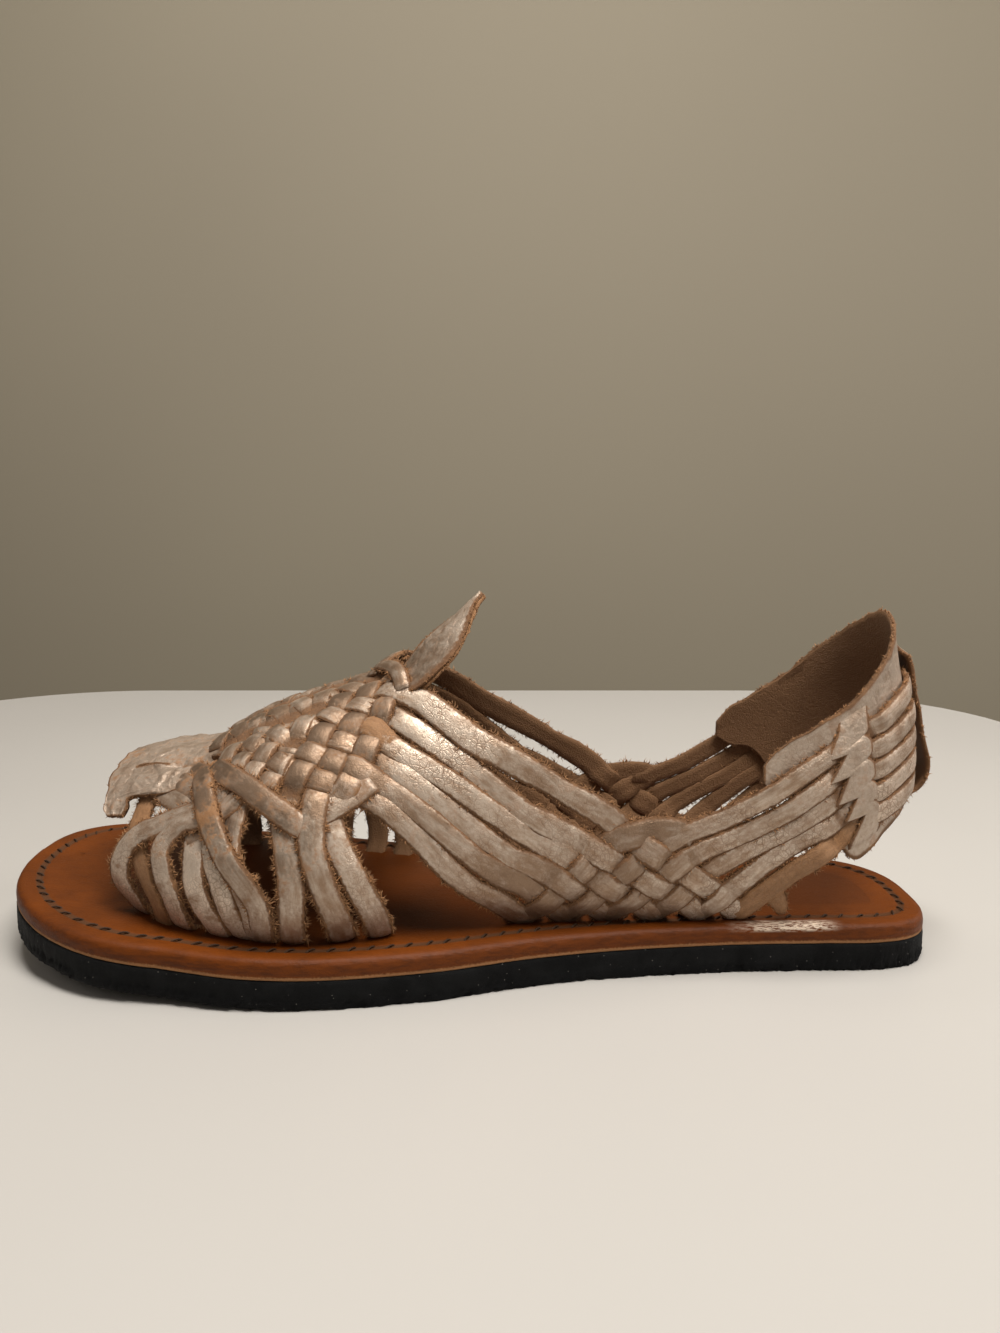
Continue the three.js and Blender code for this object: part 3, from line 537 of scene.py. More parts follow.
END = -0.03
UNDER = ((3.2, 0.1, 0.98), (1.6, -0.4, 0.95), (-0.2, -1.9, 0.9), (-3.2, -4.4, 0.8))


def tucked(rows):
    """Rows whose last two, at the floor, are replaced by a turn under the foot."""
    foot_row = rows[-2]
    low = float(girth_at(foot_row[0], 4.5))
    kept = [r for r in rows if r[1] > low]
    u = rows[-1][0]
    last = kept[-1][2] if len(kept[-1]) > 2 else 0.0
    return kept + by_height([(u, h, off + last * 0.3, share) for h, off, share in UNDER])


# Strips of the forefoot: name, medial strip of the weave that they go on from, rows, tan ranges
TOE_ROWS = [
    ("f1", 6, [(-58, 0.56, 0.6), (-62, 0.49, 0.9), (-68, 0.455, 1.4), (-74, 0.44, 1.6), (-82.5, 0.37, 1.6),
               (-88, 0.26, 1.3), (-89, 0.15, 0.9), (-88, 0.05, 0.3), (-85.5, 0.005, 0.1), (-85, END, 0)], ()),
    ("f3", 5, [(-54.5, 0.49, 0.6), (-58, 0.445, 0.8), (-64, 0.425, 1.4), (-70, 0.42, 1.5), (-75, 0.34, 1.4),
               (-75, 0.25, 1), (-73, 0.14, 0.6), (-72, 0.05, 0.2), (-71.5, END, 0)], ()),
    ("f4", 0, [(-66, 0.47, -0.2), (-66.5, 0.4, 0), (-66.5, 0.32, 0.2), (-66, 0.2, 0.4), (-64, 0.1, 0.2),
               (-62, 0.02, 0), (-61.5, END, 0)], ((-66.6, -66.1),)),
    ("f5", 0, [(-64, 0.46, -0.3), (-63, 0.4, -0.2), (-61.5, 0.28, 0), (-59, 0.18, 0), (-57, 0.08, 0),
               (-55, 0.02, 0), (-55, END, 0)], ()),
    ("f6", 0, [(-75, 0.78, 0), (-72, 0.72, 0.3), (-68, 0.65, 0.9), (-65, 0.56, 2.6), (-62, 0.43, 3.1),
               (-59, 0.33, 2.6), (-56, 0.25, 2), (-52, 0.185, 1.7), (-49, 0.12, 1.2), (-49, 0.04, 0.6),
               (-49.5, END, 0.1)], ((-63, -58.5),)),
    ("f7", 4, [(-54.5, 0.46, 0.2, 0.95), (-56, 0.38, 0.1, 0.9), (-56.5, 0.3, 0, 0.85), (-54.5, 0.2, 0, 0.85),
               (-51.5, 0.1, 0, 0.9), (-51, END, 0, 0.9)], ()),
    ("f8", 3, [(-43.5, 0.38, 0.2), (-42, 0.26, 0), (-41, 0.18, 0), (-41.5, 0.08, 0), (-42, END, 0)], ()),
    ("f9", 2, [(-35.5, 0.41, 1.4), (-36, 0.34, 1.6), (-36, 0.27, 1.4), (-34.5, 0.2, 1), (-32.5, 0.13, 0.6),
               (-30.5, 0.06, 0.3), (-30, END, 0.1)], ()),
    ("f10", 1, [(-32, 0.36, 0.2), (-31, 0.29, 0), (-28.3, 0.22, 0), (-25.2, 0.15, 0), (-22.2, 0.08, 0),
                (-20.8, 0.02, 0), (-20.8, END, 0)], ()),
]
# First crossing and last crossing of the medial strips on their way to the forefoot
MEDIAL_RANGE = {1: (0, 6), 2: (-1, 6), 3: (-2, 7), 4: (-2, 7), 5: (-2, 7), 6: (-2, 7)}
TAN_STRIP = [(-77.5, END), (-78, 0.07), (-80.5, 0.17), (-83.5, 0.28), (-85, 0.4), (-84, 0.52), (-82, 0.68),
             (-81, 0.84), (-80.5, 1)]
HIGH_STRIP = [(-66, 0.34, 0.2), (-68.5, 0.44, 0), (-72, 0.56, 0), (-74.5, 0.7, 0), (-75, 0.85, 0),
              (-75, 1, 0)]
BORDER_STRIP = [(-64, 0.655, 1.2), (-60.5, 0.59, 1.7), (-55, 0.52, 2.1), (-47, 0.425, 2.1), (-40, 0.345, 1.7),
                (-36.5, 0.305, 0.6, 0.7), (-35, 0.29, -0.2, 0.5)]
UNDER_TAB = [[(-83, 0.66, 0.3), (-80, 0.62, 0.6), (-76.5, 0.58, 0.9), (-73, 0.535, 1.1), (-70, 0.49, 0.9),
              (-67, 0.45, 0.3)],
             [(-77, 0.70, 0.4), (-73.5, 0.64, 0.9), (-70, 0.585, 1.3), (-66.5, 0.54, 1.2), (-63, 0.5, 0.6)]]
LOW_BORDER = [(-22, 0.42, 0.6), (-26, 0.4, 0.9), (-31, 0.375, 0.8), (-37, 0.345, 0.5), (-42, 0.325, 0.3)]
ROOT_COVER = [(-24.5, 1.05, 1.4), (-21.5, 0.97, 2.4), (-17.5, 0.86, 2.9), (-14.8, 0.76, 2.6),
              (-14.2, 0.70, 1.4)]
HEEL_END = [(79, 13, 0.2, 0.9), (82, 10, 0.1, 1), (84.5, 6.5, -0.2, 0.8), (86.5, 2, -0.6, 0.45)]


# Materials

def fill(tree, ends, values):
    """Links or sets inputs by their names."""
    for key, value in values.items():
        value = getattr(value, "socket", value)
        if isinstance(value, bpy.types.NodeSocket):
            tree.links.new(value, ends[key])
        else:
            ends[key].default_value = value


def node(tree, kind, values=None, **settings):
    """Adds a node, sets its options, and links or sets its inputs."""
    made = tree.nodes.new(kind)
    for key, value in settings.items():
        setattr(made, key, value)
    fill(tree, made.inputs, values or {})
    return made


class Number:
    """Number that a node gives. Sums with it add nodes, and a | b is the larger of two."""

    def __init__(self, tree, socket):
        self.tree, self.socket = tree, socket

    def maths(self, way, a, b=0.0):
        """One node of maths."""
        return Number(self.tree, node(self.tree, "ShaderNodeMath", {0: a, 1: b}, operation=way).outputs[0])

    def step(self, low, high, start=0.0, end=1.0):
        """Smooth step from one number to another."""
        made = node(self.tree, "ShaderNodeMapRange", {0: self, 1: low, 2: high, 3: start, 4: end},
                    interpolation_type="SMOOTHSTEP")
        return Number(self.tree, made.outputs[0])

    def __add__(self, other):
        return self.maths("ADD", self, other)

    def __mul__(self, other):
        return self.maths("MULTIPLY", self, other)

    def __sub__(self, other):
        return self.maths("SUBTRACT", self, other)

    def __rsub__(self, other):
        return self.maths("SUBTRACT", other, self)

    def __or__(self, other):
        return self.maths("MAXIMUM", self, other)

    def __abs__(self):
        return self.maths("ABSOLUTE", self)

    __radd__, __rmul__ = __add__, __mul__


def blend(tree, share, a, b, way="MIX"):
    """Mix of two colours."""
    return node(tree, "ShaderNodeMix", {0: share, 6: a, 7: b}, data_type="RGBA", blend_type=way).outputs[2]


def noise(tree, place, scale, detail=3.0, rough=0.5):
    """Soft noise at a scale of waves per mm."""
    values = {"Vector": place, "Scale": scale, "Detail": detail, "Roughness": rough}
    return Number(tree, node(tree, "ShaderNodeTexNoise", values).outputs[0])


def cells(tree, place, scale, feature="DISTANCE_TO_EDGE"):
    """Distance to the borders or the middles of cells."""
    return Number(tree, node(tree, "ShaderNodeTexVoronoi", {"Vector": place, "Scale": scale},
                             feature=feature).outputs[0])


def vector(tree, *values):
    """Vector of three numbers."""
    return node(tree, "ShaderNodeCombineXYZ", dict(enumerate(values))).outputs[0]


def in_mm(tree, place):
    """A place in mm."""
    return node(tree, "ShaderNodeVectorMath", {0: place, 3: 1000.0}, operation="SCALE").outputs[0]


def attribute(tree, name):
    """Number of a named attribute."""
    made = node(tree, "ShaderNodeAttribute", attribute_name=name, attribute_type="GEOMETRY")
    return Number(tree, made.outputs["Fac"])


def arrange(tree):
    """Lays the nodes of a tree out in columns."""
    for k, made in enumerate(tree.nodes):
        made.location = (240 * (k // 5), -220 * (k % 5))


def new_tree(name, tree_kind, inputs, outputs):
    """Node tree with sockets by kind, and its two ends."""
    tree = bpy.data.node_groups.new(name, tree_kind)
    for way, sockets in (("INPUT", inputs), ("OUTPUT", outputs)):
        for kind, keys in sockets.items():
            for key in keys:
                tree.interface.new_socket(key, in_out=way, socket_type="NodeSocket" + kind)
    return tree, node(tree, "NodeGroupInput").outputs, node(tree, "NodeGroupOutput").inputs


def colour(*levels):
    """Colour from 0 to 255 levels as read on a screen, in linear light."""
    shares = [v / 255 for v in levels]
    return opaque(v / 12.92 if v <= 0.04045 else ((v + 0.055) / 1.055) ** 2.4 for v in shares)


def opaque(tint):
    """Colour with its fourth number."""
    return tuple(tint) + (1.0,)


def worn_film_group():
    """Metal film on brown leather: cracks, rubbed patches, raw edges, tan back, grain."""
    plain = ("Across", "Raw", "Back", "Tan", "Tone", "Run", "Cracks", "Rub", "Wrinkle")
    colours = ("Film", "Warm film", "Leather", "Tan leather", "Suede")
    tree, given, out = new_tree("Worn metal film", "ShaderNodeTree",
                                {"Vector": ("Place",), "Float": plain, "Color": colours},
                                {"Color": ("Colour",), "Float": ("Metal", "Roughness", "Height")})
    across, raw, back, tan, tone, run, cracks, rub, wrinkle = (Number(tree, given[key]) for key in plain)
    film, warm_film, leather, tan_leather, suede = (given[key] for key in colours)
    place = in_mm(tree, given["Place"])
    fine = noise(tree, place, 2.2, 4.0, 0.65)
    grain = noise(tree, place, 0.85, 5.0, 0.6)
    blotch = noise(tree, place, 0.16, 4.0, 0.62)
    broad = noise(tree, place, 0.055, 2.0, 0.5)
    streak = noise(tree, vector(tree, across * 2.4, run * 0.16, tone * 3.0), 1.0, 4.0, 0.6)
    wave = node(tree, "ShaderNodeTexNoise", {"Vector": place, "Scale": 0.7, "Detail": 2.0}).outputs[1]
    bent = blend(tree, 0.35, place, wave, "ADD")
    # Where the film is lost: cracks between plates, rubbed patches, edges and specks; on the strips the raw
    # mark also holds painted shade in crevices
    where = (broad * 0.7 + grain * 0.3).step(0.36, 0.54) * tone.step(-0.6, 0.9, 0.4, 1.0)
    line = cells(tree, bent, 0.6).step(0.0, 0.12, 1.0, 0.0)
    thin = cells(tree, bent, 1.4).step(0.0, 0.15, 0.7, 0.0)
    crack = (line | thin) * (where * cracks)
    uneven = grain - 0.5
    edge = (abs(across) + uneven * 0.45).step(0.70, 0.90) | (raw + uneven * 0.5).step(0.25, 0.7)
    rubbed = (blotch + grain * 0.35).step(0.64, 0.88) * rub
    speck = (fine * 0.6 + grain * 0.4).step(0.46, 0.66) * 0.2
    lost = crack * 0.85 | rubbed | edge | speck
    # Colours of the film, of the leather under it, of bare tan leather and of the suede back
    base = blend(tree, (blotch * 0.5 + streak * 0.5 + tone * 0.08).step(0.34, 0.64), warm_film, film)
    # The tone mark lightens and darkens the film: part random tone, part painted light and shade laid by the
    # strips
    shade = (1.0 + tone * 0.16) * (0.95 + grain * 0.10)
    base = blend(tree, 1.0, base, vector(tree, shade, shade, shade), "MULTIPLY")
    under = blend(tree, fine * 0.45 + (raw * 0.12 + rubbed * 0.45), leather, tan_leather)
    base = blend(tree, lost, base, under)
    tan_here = (tan + ((blotch - 0.5) * 1.2 + uneven * 0.8)).step(0.42, 0.68) * 0.92
    tan_colour = blend(tree, (fine * 0.5 + streak * 0.5).step(0.35, 0.68),
                       blend(tree, 0.55, leather, tan_leather), tan_leather)
    base = blend(tree, tan_here, base, tan_colour)
    nap = blend(tree, fine, suede, blend(tree, 0.35, suede, tan_leather))
    kept = 1.0 - (lost | tan_here | back)
    height = grain * 0.09 + fine * (0.07 + (raw | back) * 0.5) - crack * 0.09 + blotch * 0.25
    height = height + (cells(tree, bent, 0.34).step(0.0, 0.3) + grain) * wrinkle
    fill(tree, out, {"Colour": blend(tree, back, base, nap), "Metal": kept, "Height": height,
                     "Roughness": kept * -0.37 + (0.74 + fine * 0.12)})
    arrange(tree)
    return tree


def new_material(name):
    """Material with a Principled shader, its tree, and the place on the object."""
    made = bpy.data.materials.new(name)
    made.use_nodes = True
    return made, made.node_tree, node(made.node_tree, "ShaderNodeTexCoord").outputs["Object"]


def coated(made, values, height=None, distance=1.0, strength=1.0):
    """Leads values and a height in mm to the shader of a material."""
    tree = made.node_tree
    shader = tree.nodes["Principled BSDF"]
    fill(tree, shader.inputs, values)
    if height is not None:
        bump = node(tree, "ShaderNodeBump", {
            "Height": height, "Distance": distance * MM, "Strength": strength})
        tree.links.new(bump.outputs[0], shader.inputs["Normal"])
    arrange(tree)
    return made


def film_leather(name, group, sizes, cracks, rub, shine, darker=1.0, wrinkle=0.0):
    """Worn pearly leather on straps and panels."""
    made, tree, place = new_material(name)
    film, warm = (opaque(v * darker for v in tint) for tint in (sizes.film_colour, sizes.warm_film_colour))
    values = {mark.capitalize(): attribute(tree, mark) for mark in MARKS}
    values.update({"Place": place, "Film": film, "Warm film": warm, "Leather": opaque(sizes.leather_colour),
                   "Tan leather": opaque(sizes.tan_colour), "Suede": opaque(sizes.suede_colour),
                   "Cracks": cracks, "Rub": rub, "Wrinkle": wrinkle})
    worn = node(tree, "ShaderNodeGroup", values, node_tree=group).outputs
    return coated(made, {"Base Color": worn["Colour"], "Metallic": Number(tree, worn["Metal"]) * shine,
                         "Roughness": worn["Roughness"]}, worn["Height"], 1.0, 0.9)


def fibre_leather(sizes):
    """Loose fibres on raw edges."""
    made, tree, place = new_material("edge_fibres")
    tan, brown = opaque(sizes.tan_colour), opaque(sizes.leather_colour)
    base = blend(tree, noise(tree, place, 420.0, 2.0).step(0.3, 0.6), blend(tree, 0.5, brown, tan), tan)
    return coated(made, {"Base Color": base, "Roughness": 0.8})


def insole_leather(sizes):
    """Oiled orange leather: darker worn middle, stitch groove, burnished rim, pale scuff, raw lower line."""
    made, tree, place = new_material("insole_leather")
    mm = in_mm(tree, place)
    x, y = (Number(tree, end) for end in node(tree, "ShaderNodeSeparateXYZ", {0: mm}).outputs[:2])
    wall, inset, low = (attribute(tree, name) for name in ("wall", "inset", "low"))
    long_place = node(tree, "ShaderNodeVectorMath", {0: mm, 1: (0.25, 0.6, 1.0)},
                      operation="MULTIPLY").outputs[0]
    fine = noise(tree, mm, 1.8, 5.0, 0.62)
    streak = noise(tree, long_place, 0.9, 3.0, 0.6)
    orange, brown = opaque(sizes.insole_colour), opaque(sizes.insole_dark_colour)
    light, middling, dark = (blend(tree, share, orange, brown) for share in (0.3, 0.45, 0.85))
    base = blend(tree, noise(tree, mm, 0.045, 4.0, 0.6).step(0.38, 0.66), orange, middling)
    base = blend(tree, streak.step(0.45, 0.8, 0.0, 0.35), base, brown)
    base = blend(tree, inset.step(7.0, 20.0) * x.step(-112.0, -70.0, 0.15, 0.55), base, brown)
    groove = (1.0 - abs(inset - 6.3).step(0.5, 1.3)) * (1.0 - wall)
    base = blend(tree, groove * 0.8, base, (0.07, 0.033, 0.015, 1.0))
    base = blend(tree, wall * 0.8, base, blend(tree, streak.step(0.35, 0.7), light, dark))
    raw_line = wall * (low + fine * 0.3).step(0.95, 1.12)
    base = blend(tree, raw_line * 0.6, base, (0.42, 0.22, 0.10, 1.0))
    # Pale scuff on the lateral rim near the heel
    scratch = node(tree, "ShaderNodeMapping", {0: mm, 2: (0.0, 0.0, 0.35), 3: (0.5, 3.0, 1.5)}).outputs[0]
    spot = (x + streak * 14.0).step(76.0, 92.0) * x.step(94.0, 103.0, 1.0, 0.0)
    spot = spot * (y.step(-20.0, -26.0) * inset.step(4.6, 2.6)) * low.step(0.42, 0.2)
    spot = spot * noise(tree, scratch, 1.0, 4.0, 0.7).step(0.40, 0.56)
    base = blend(tree, spot * 0.85, base, (0.80, 0.66, 0.52, 1.0))
    gloss = (0.42 + fine * 0.22) + (groove | raw_line) * 0.3
    height = (fine * 0.10 + cells(tree, mm, 1.9, "F1") * 0.06) + streak * (0.08 + wall * 0.25)
    return coated(made, {"Base Color": base, "Roughness": gloss, "Specular IOR Level": 0.17},
                  height, 1.0, 0.7)


def rubber_material(sizes):
    """Black rubber cut by hand: matt, granular, with pale specks of dust."""
    made, tree, place = new_material("cut_rubber")
    mm = in_mm(tree, place)
    fine = noise(tree, mm, 2.6, 5.0, 0.7)
    broad = noise(tree, mm, 0.11, 3.0, 0.6)
    grey = opaque(min(1.0, c * 1.8 + 0.002) for c in sizes.rubber_colour)
    base = blend(tree, broad.step(0.35, 0.7), opaque(sizes.rubber_colour), grey)
    deep = (attribute(tree, "low") + broad * 0.5).step(0.7, 1.05, 0.0, 0.6)
    base = blend(tree, deep, base, (0.003, 0.003, 0.0035, 1.0))
    speck = cells(tree, mm, 0.55, "F1").step(0.085, 0.05)
    base = blend(tree, speck * 0.5, base, (0.35, 0.33, 0.30, 1.0))
    return coated(made, {"Base Color": base, "Roughness": 0.5 + fine * 0.3, "Specular IOR Level": 0.1},
                  fine * 0.35 + broad * 0.6, 1.0, 0.8)


def thread_material():
    """Waxed dark thread."""
    made, tree, place = new_material("waxed_thread")
    base = blend(tree, noise(tree, place, 900.0, 3.0), (0.018, 0.008, 0.004, 1.0), (0.06, 0.03, 0.015, 1.0))
    return coated(made, {"Base Color": base, "Roughness": 0.7, "Specular IOR Level": 0.2})


def stage_material(name, tint, other, rough, scale):
    """Plain painted surface with a slow change of tone."""
    made, tree, place = new_material(name)
    base = blend(tree, noise(tree, place, scale, 2.0).step(0.3, 0.7), tint, other)
    return coated(made, {"Base Color": base, "Roughness": rough}, noise(tree, place, 900.0, 2.0), 0.02, 0.3)


# Node trees that repeat small things along a path

def named(tree, name, kind):
    """Named attribute of the points."""
    return node(tree, "GeometryNodeInputNamedAttribute", {"Name": name}, data_type=kind).outputs[0]


def repeated(tree, given, out, shape, axis, turn, size):
    """Lays a shape on every point, aimed by an attribute and turned, and ends in real faces."""
    aim = node(tree, "FunctionNodeAlignRotationToVector", {"Vector": named(tree, "aim", "FLOAT_VECTOR")},
               axis=axis).outputs[0]
    turned = node(tree, "FunctionNodeRotateRotation", {0: aim, 1: turn}, rotation_space="LOCAL").outputs[0]
    laid = node(tree, "GeometryNodeInstanceOnPoints", {
        "Points": given["Geometry"], "Instance": shape, "Rotation": turned,
        "Scale": vector(tree, size, size, size)}).outputs[0]
    real = node(tree, "GeometryNodeRealizeInstances", {0: laid}).outputs[0]
    smooth = node(tree, "GeometryNodeSetShadeSmooth", {0: real}).outputs[0]
    fill(tree, out, {0: node(tree, "GeometryNodeSetMaterial", {
        0: smooth, "Material": given["Material"]}).outputs[0]})
    arrange(tree)
    return tree


def fibre_tree():
    """Bent fibres that stand on points, aimed by an attribute."""
    tree, given, out = new_tree("Edge fibres", "GeometryNodeTree", {
        "Geometry": ("Geometry",), "Float": ("Thickness", "Bend"), "Int": ("Seed",),
        "Material": ("Material",)}, {"Geometry": ("Geometry",)})
    spike = node(tree, "GeometryNodeMeshCone", {
        "Vertices": 3, "Side Segments": 2, "Radius Top": 0.0, "Radius Bottom": given["Thickness"],
        "Depth": 1.2}).outputs[0]
    spot = node(tree, "GeometryNodeInputPosition").outputs[0]
    up = Number(tree, node(tree, "ShaderNodeSeparateXYZ", {0: spot}).outputs[2])
    offset = vector(tree, up * up * given["Bend"], 0.0, -0.2)
    blade = node(tree, "GeometryNodeSetPosition", {"Geometry": spike, "Offset": offset}).outputs[0]
    spin = node(tree, "FunctionNodeRandomValue", {
        0: (-0.6, -0.6, -3.14), 1: (0.6, 0.6, 3.14), "Seed": given["Seed"]},
                data_type="FLOAT_VECTOR").outputs[0]
    return repeated(tree, given, out, blade, "Z", spin, named(tree, "reach", "FLOAT"))


def stitch_tree():
    """Slanted stitches that lie on points, aimed along an attribute."""
    tree, given, out = new_tree("Sole stitches", "GeometryNodeTree", {
        "Geometry": ("Geometry",), "Float": ("Length", "Slant"), "Int": ("Seed",), "Material": ("Material",)},
        {"Geometry": ("Geometry",)})
    line = node(tree, "GeometryNodeCurvePrimitiveBezierSegment", {
        "Resolution": 8, "Start": (-0.55, -0.12, -0.16), "Start Handle": (-0.25, -0.22, 0.22),
        "End Handle": (0.25, 0.22, 0.22), "End": (0.55, 0.12, -0.16)}).outputs[0]
    ring = node(tree, "GeometryNodeCurvePrimitiveCircle", {"Resolution": 6, "Radius": 0.075}).outputs[0]
    thread = node(tree, "GeometryNodeCurveToMesh", {
        "Curve": line, "Profile Curve": ring, "Fill Caps": True}).outputs[0]
    slant = Number(tree, given["Slant"])
    slant = node(tree, "FunctionNodeRandomValue", {2: slant - 0.12, 3: slant + 0.12, "Seed": given["Seed"]},
                 data_type="FLOAT").outputs[1]
    return repeated(tree, given, out, thread, "X", vector(tree, 0.0, 0.0, slant), given["Length"])


def grown(name, tree, points, marks, settings):
    """Runs a tree on loose points and keeps the result as a plain mesh."""
    mesh = bpy.data.meshes.new(name + "_points")
    mesh.vertices.add(len(points))
    mesh.vertices.foreach_set("co", (points * MM).astype(np.float32).ravel())
    for key, values in marks.items():
        kind = "FLOAT_VECTOR" if values.ndim == 2 else "FLOAT"
        layer = mesh.attributes.new(key, kind, "POINT")
        layer.data.foreach_set("vector" if values.ndim == 2 else "value", values.astype(np.float32).ravel())
    holder = bpy.data.objects.new(name + "_points", mesh)
    bpy.context.scene.collection.objects.link(holder)
    change = holder.modifiers.new("Tree", "NODES")
    change.node_group = tree
    names = {end.name: end.identifier for end in tree.interface.items_tree
             if end.item_type == "SOCKET" and end.in_out == "INPUT"}
    for key, value in settings.items():
        change[names[key]] = value
    bpy.context.view_layer.update()
    graph = bpy.context.evaluated_depsgraph_get()
    plain = bpy.data.meshes.new_from_object(holder.evaluated_get(graph), depsgraph=graph)
    if not plain.polygons:
        raise RuntimeError("the tree made no faces for " + name)
    bpy.data.objects.remove(holder)
    plain.name = name
    made = bpy.data.objects.new(name, plain)
    bpy.context.scene.collection.objects.link(made)
    return made


# Settings of the sandal

def length_setting(name, value, description):
    """A size in metres."""
    return FloatProperty(name=name, default=value, description=description, subtype="DISTANCE", unit="LENGTH",
                         precision=5, min=0.0)


def colour_setting(name, levels, description):
    """A colour in linear light."""
    return FloatVectorProperty(name=name, default=levels, description=description, subtype="COLOR", size=3,
                               min=0.0, max=1.0)


class SANDAL_PG_sizes(PropertyGroup):
    """Sizes and colours of the sandal."""
    strip_width: length_setting("Strip width", 0.0064, "Width of the straps of the upper")
    strip_thick: length_setting("Strip thickness", 0.0016, "Thickness of the straps")
    heel_width: length_setting("Heel strap width", 0.0058, "Width of the straps behind the ankle")
    fibre_reach: length_setting("Fibre length", 0.0011, "Length of the loose fibres on raw edges")
    fibre_thick: length_setting("Fibre thickness", 0.0002, "Thickness of the loose fibres")
    fibre_density: FloatProperty(name="Fibres per mm", default=6.0, min=0.0,
                                 description="Loose fibres on a mm of edge")
    stitch_pitch: length_setting("Stitch pitch", 0.0049, "Distance from stitch to stitch on the insole")
    stitch_inset: length_setting("Stitch inset", 0.0063, "Distance of the stitches from the edge")
    stitch_length: length_setting("Stitch length", 0.0036, "Length of one stitch")
    seed: IntProperty(name="Seed", default=11, description="Changes the small differences of the straps")
    film_colour: colour_setting("Film", (0.595, 0.495, 0.405), "Pearly film of the straps")
    warm_film_colour: colour_setting("Warm film", (0.33, 0.222, 0.148), "Film where it is thin")
    leather_colour: colour_setting("Leather", (0.075, 0.031, 0.011), "Brown leather under the film")
    tan_colour: colour_setting("Tan leather", (0.33, 0.165, 0.068), "Straps that show their back")
    suede_colour: colour_setting("Suede", (0.13, 0.06, 0.022), "Inner side of the straps")
    insole_colour: colour_setting("Insole", (0.135, 0.031, 0.0015), "Leather of the insole")
    insole_dark_colour: colour_setting("Worn insole", (0.055, 0.013, 0.0015), "Insole where it is worn")
    rubber_colour: colour_setting("Rubber", (0.003, 0.0032, 0.0034), "Rubber of the outsole")


SHOP = {}


def materials():
    """The finishes of the sandal, made once."""
    if not SHOP:
        sizes = bpy.context.scene.sandal_sizes
        group = worn_film_group()
        SHOP["straps"] = film_leather("strap_leather", group, sizes, 1.0, 0.6, 0.9, 1.05)
        SHOP["toes"] = film_leather("forefoot_leather", group, sizes, 0.6, 0.85, 0.85, 0.98)
        SHOP["heel"] = film_leather("heel_leather", group, sizes, 0.4, 0.65, 0.75, 0.88, 0.07)
        SHOP["tongue"] = film_leather("tongue_leather", group, sizes, 0.4, 0.6, 0.7, 0.85, 0.12)
        SHOP["tab"] = film_leather("tab_leather", group, sizes, 0.5, 0.85, 0.45, 0.78, 0.16)
        SHOP["fibres"] = fibre_leather(sizes)
        SHOP["insole"] = insole_leather(sizes)
        SHOP["rubber"] = rubber_material(sizes)
        SHOP["thread"] = thread_material()
    return SHOP


def fuzz(name, leather, seed, density, reach, slot):
    """Loose fibres along the raw edges of laid leather."""
    sizes = bpy.context.scene.sandal_sizes
    rng = np.random.default_rng(seed)
    spots, aims, reaches = [], [], []
    for line, aim in zip(leather.edges, leather.aims):
        chord = np.r_[0, np.cumsum(np.linalg.norm(np.diff(line, axis=0), axis=1))]
        count = int(chord[-1] * density)
        at = np.sort(rng.uniform(0, chord[-1], count))
        tuft = 0.55 + 0.45 * np.sin(at * 0.9 + rng.uniform(0, 6)) + rng.uniform(-0.3, 0.3, count)
        keep = tuft > 0.15
        at, tuft = at[keep], tuft[keep]
        if not len(at):
            continue
        spots.append(np.stack([np.interp(at, chord, line[:, c]) for c in range(3)], -1))
        aims.append(np.stack([np.interp(at, chord, aim[:, c]) for c in range(3)], -1))
        reaches.append(reach * (0.5 + 0.6 * np.clip(tuft, 0, 1.2)) * rng.uniform(0.6, 1.3, len(at)))
    spots, aims, reaches = np.concatenate(spots), np.concatenate(aims), np.concatenate(reaches)
    spots = spots + rng.normal(0, 0.2, spots.shape) - aims * 0.1
    aims = unit(aims + rng.normal(0, 0.5, aims.shape))
    settings = {"Thickness": sizes.fibre_thick / (reach * MM), "Bend": 0.5, "Seed": seed,
                "Material": SHOP["fibres"]}
    finished(grown(name, SHOP["fibre_tree"], spots, {"aim": aims, "reach": reaches * MM}, settings), slot)


# Operators

class SANDAL_OT_outsole(Operator):
    """Cuts the rubber outsole with its rough lower edge"""
    bl_idname = "sandal.outsole"
    bl_label = "Outsole"

    def execute(self, context):
        """Makes the piece."""
        rng = np.random.default_rng(5)
        ring, inward = sole_outline(420)
        n = len(ring)
        rows = [(0.0, 1.5, 1), (0.0, 0.55, 1), (0.7, 0.15, 1), (1.8, 0.0, 0.85), (2.6, 0.22, 0.6),
                (4.2, 0.1, 0.3), (6.2, 0.12, 0.1), (7.3, 0.2, 0), (7.7, 0.55, 0), (7.7, 2.0, 0)]
        broad = 0.25 * wander(rng, n, 9) + 0.18 * wander(rng, n, 3)
        rings, low = [], []
        for k, (z, inset, mark) in enumerate(rows):
            ragged = (0.28 if 1 <= k <= 4 else 0.07) * rng.normal(0, 1, n) * 0.6
            bite = np.where(wander(rng, n, 5) > 0.75, 0.45, 0) if 1 <= k <= 3 else 0
            depth = inset + 0.12 + broad * (0.9 if k <= 4 else 0.35) + ragged + bite
            at = ring + inward * np.maximum(depth, 0.02)[:, None]
            rough = 0.16 * rng.normal(0, 1, n) if k in (2, 3, 4) else 0
            rings.append(np.column_stack([at, np.clip(z + rough, 0, OUTSOLE_THICK) + lift(at[:, 0])]))
            low.append(np.full(n, mark, float))
        points, quads, tris = layered(rings, 10)
        marks = np.concatenate(low + [np.ones(len(points) - n * len(rows))])
        made = mesh_object("rubber_outsole", points, quads, tris, materials()["rubber"], {"low": marks})
        finished(made, "rubber", "outsole")
        return {"FINISHED"}


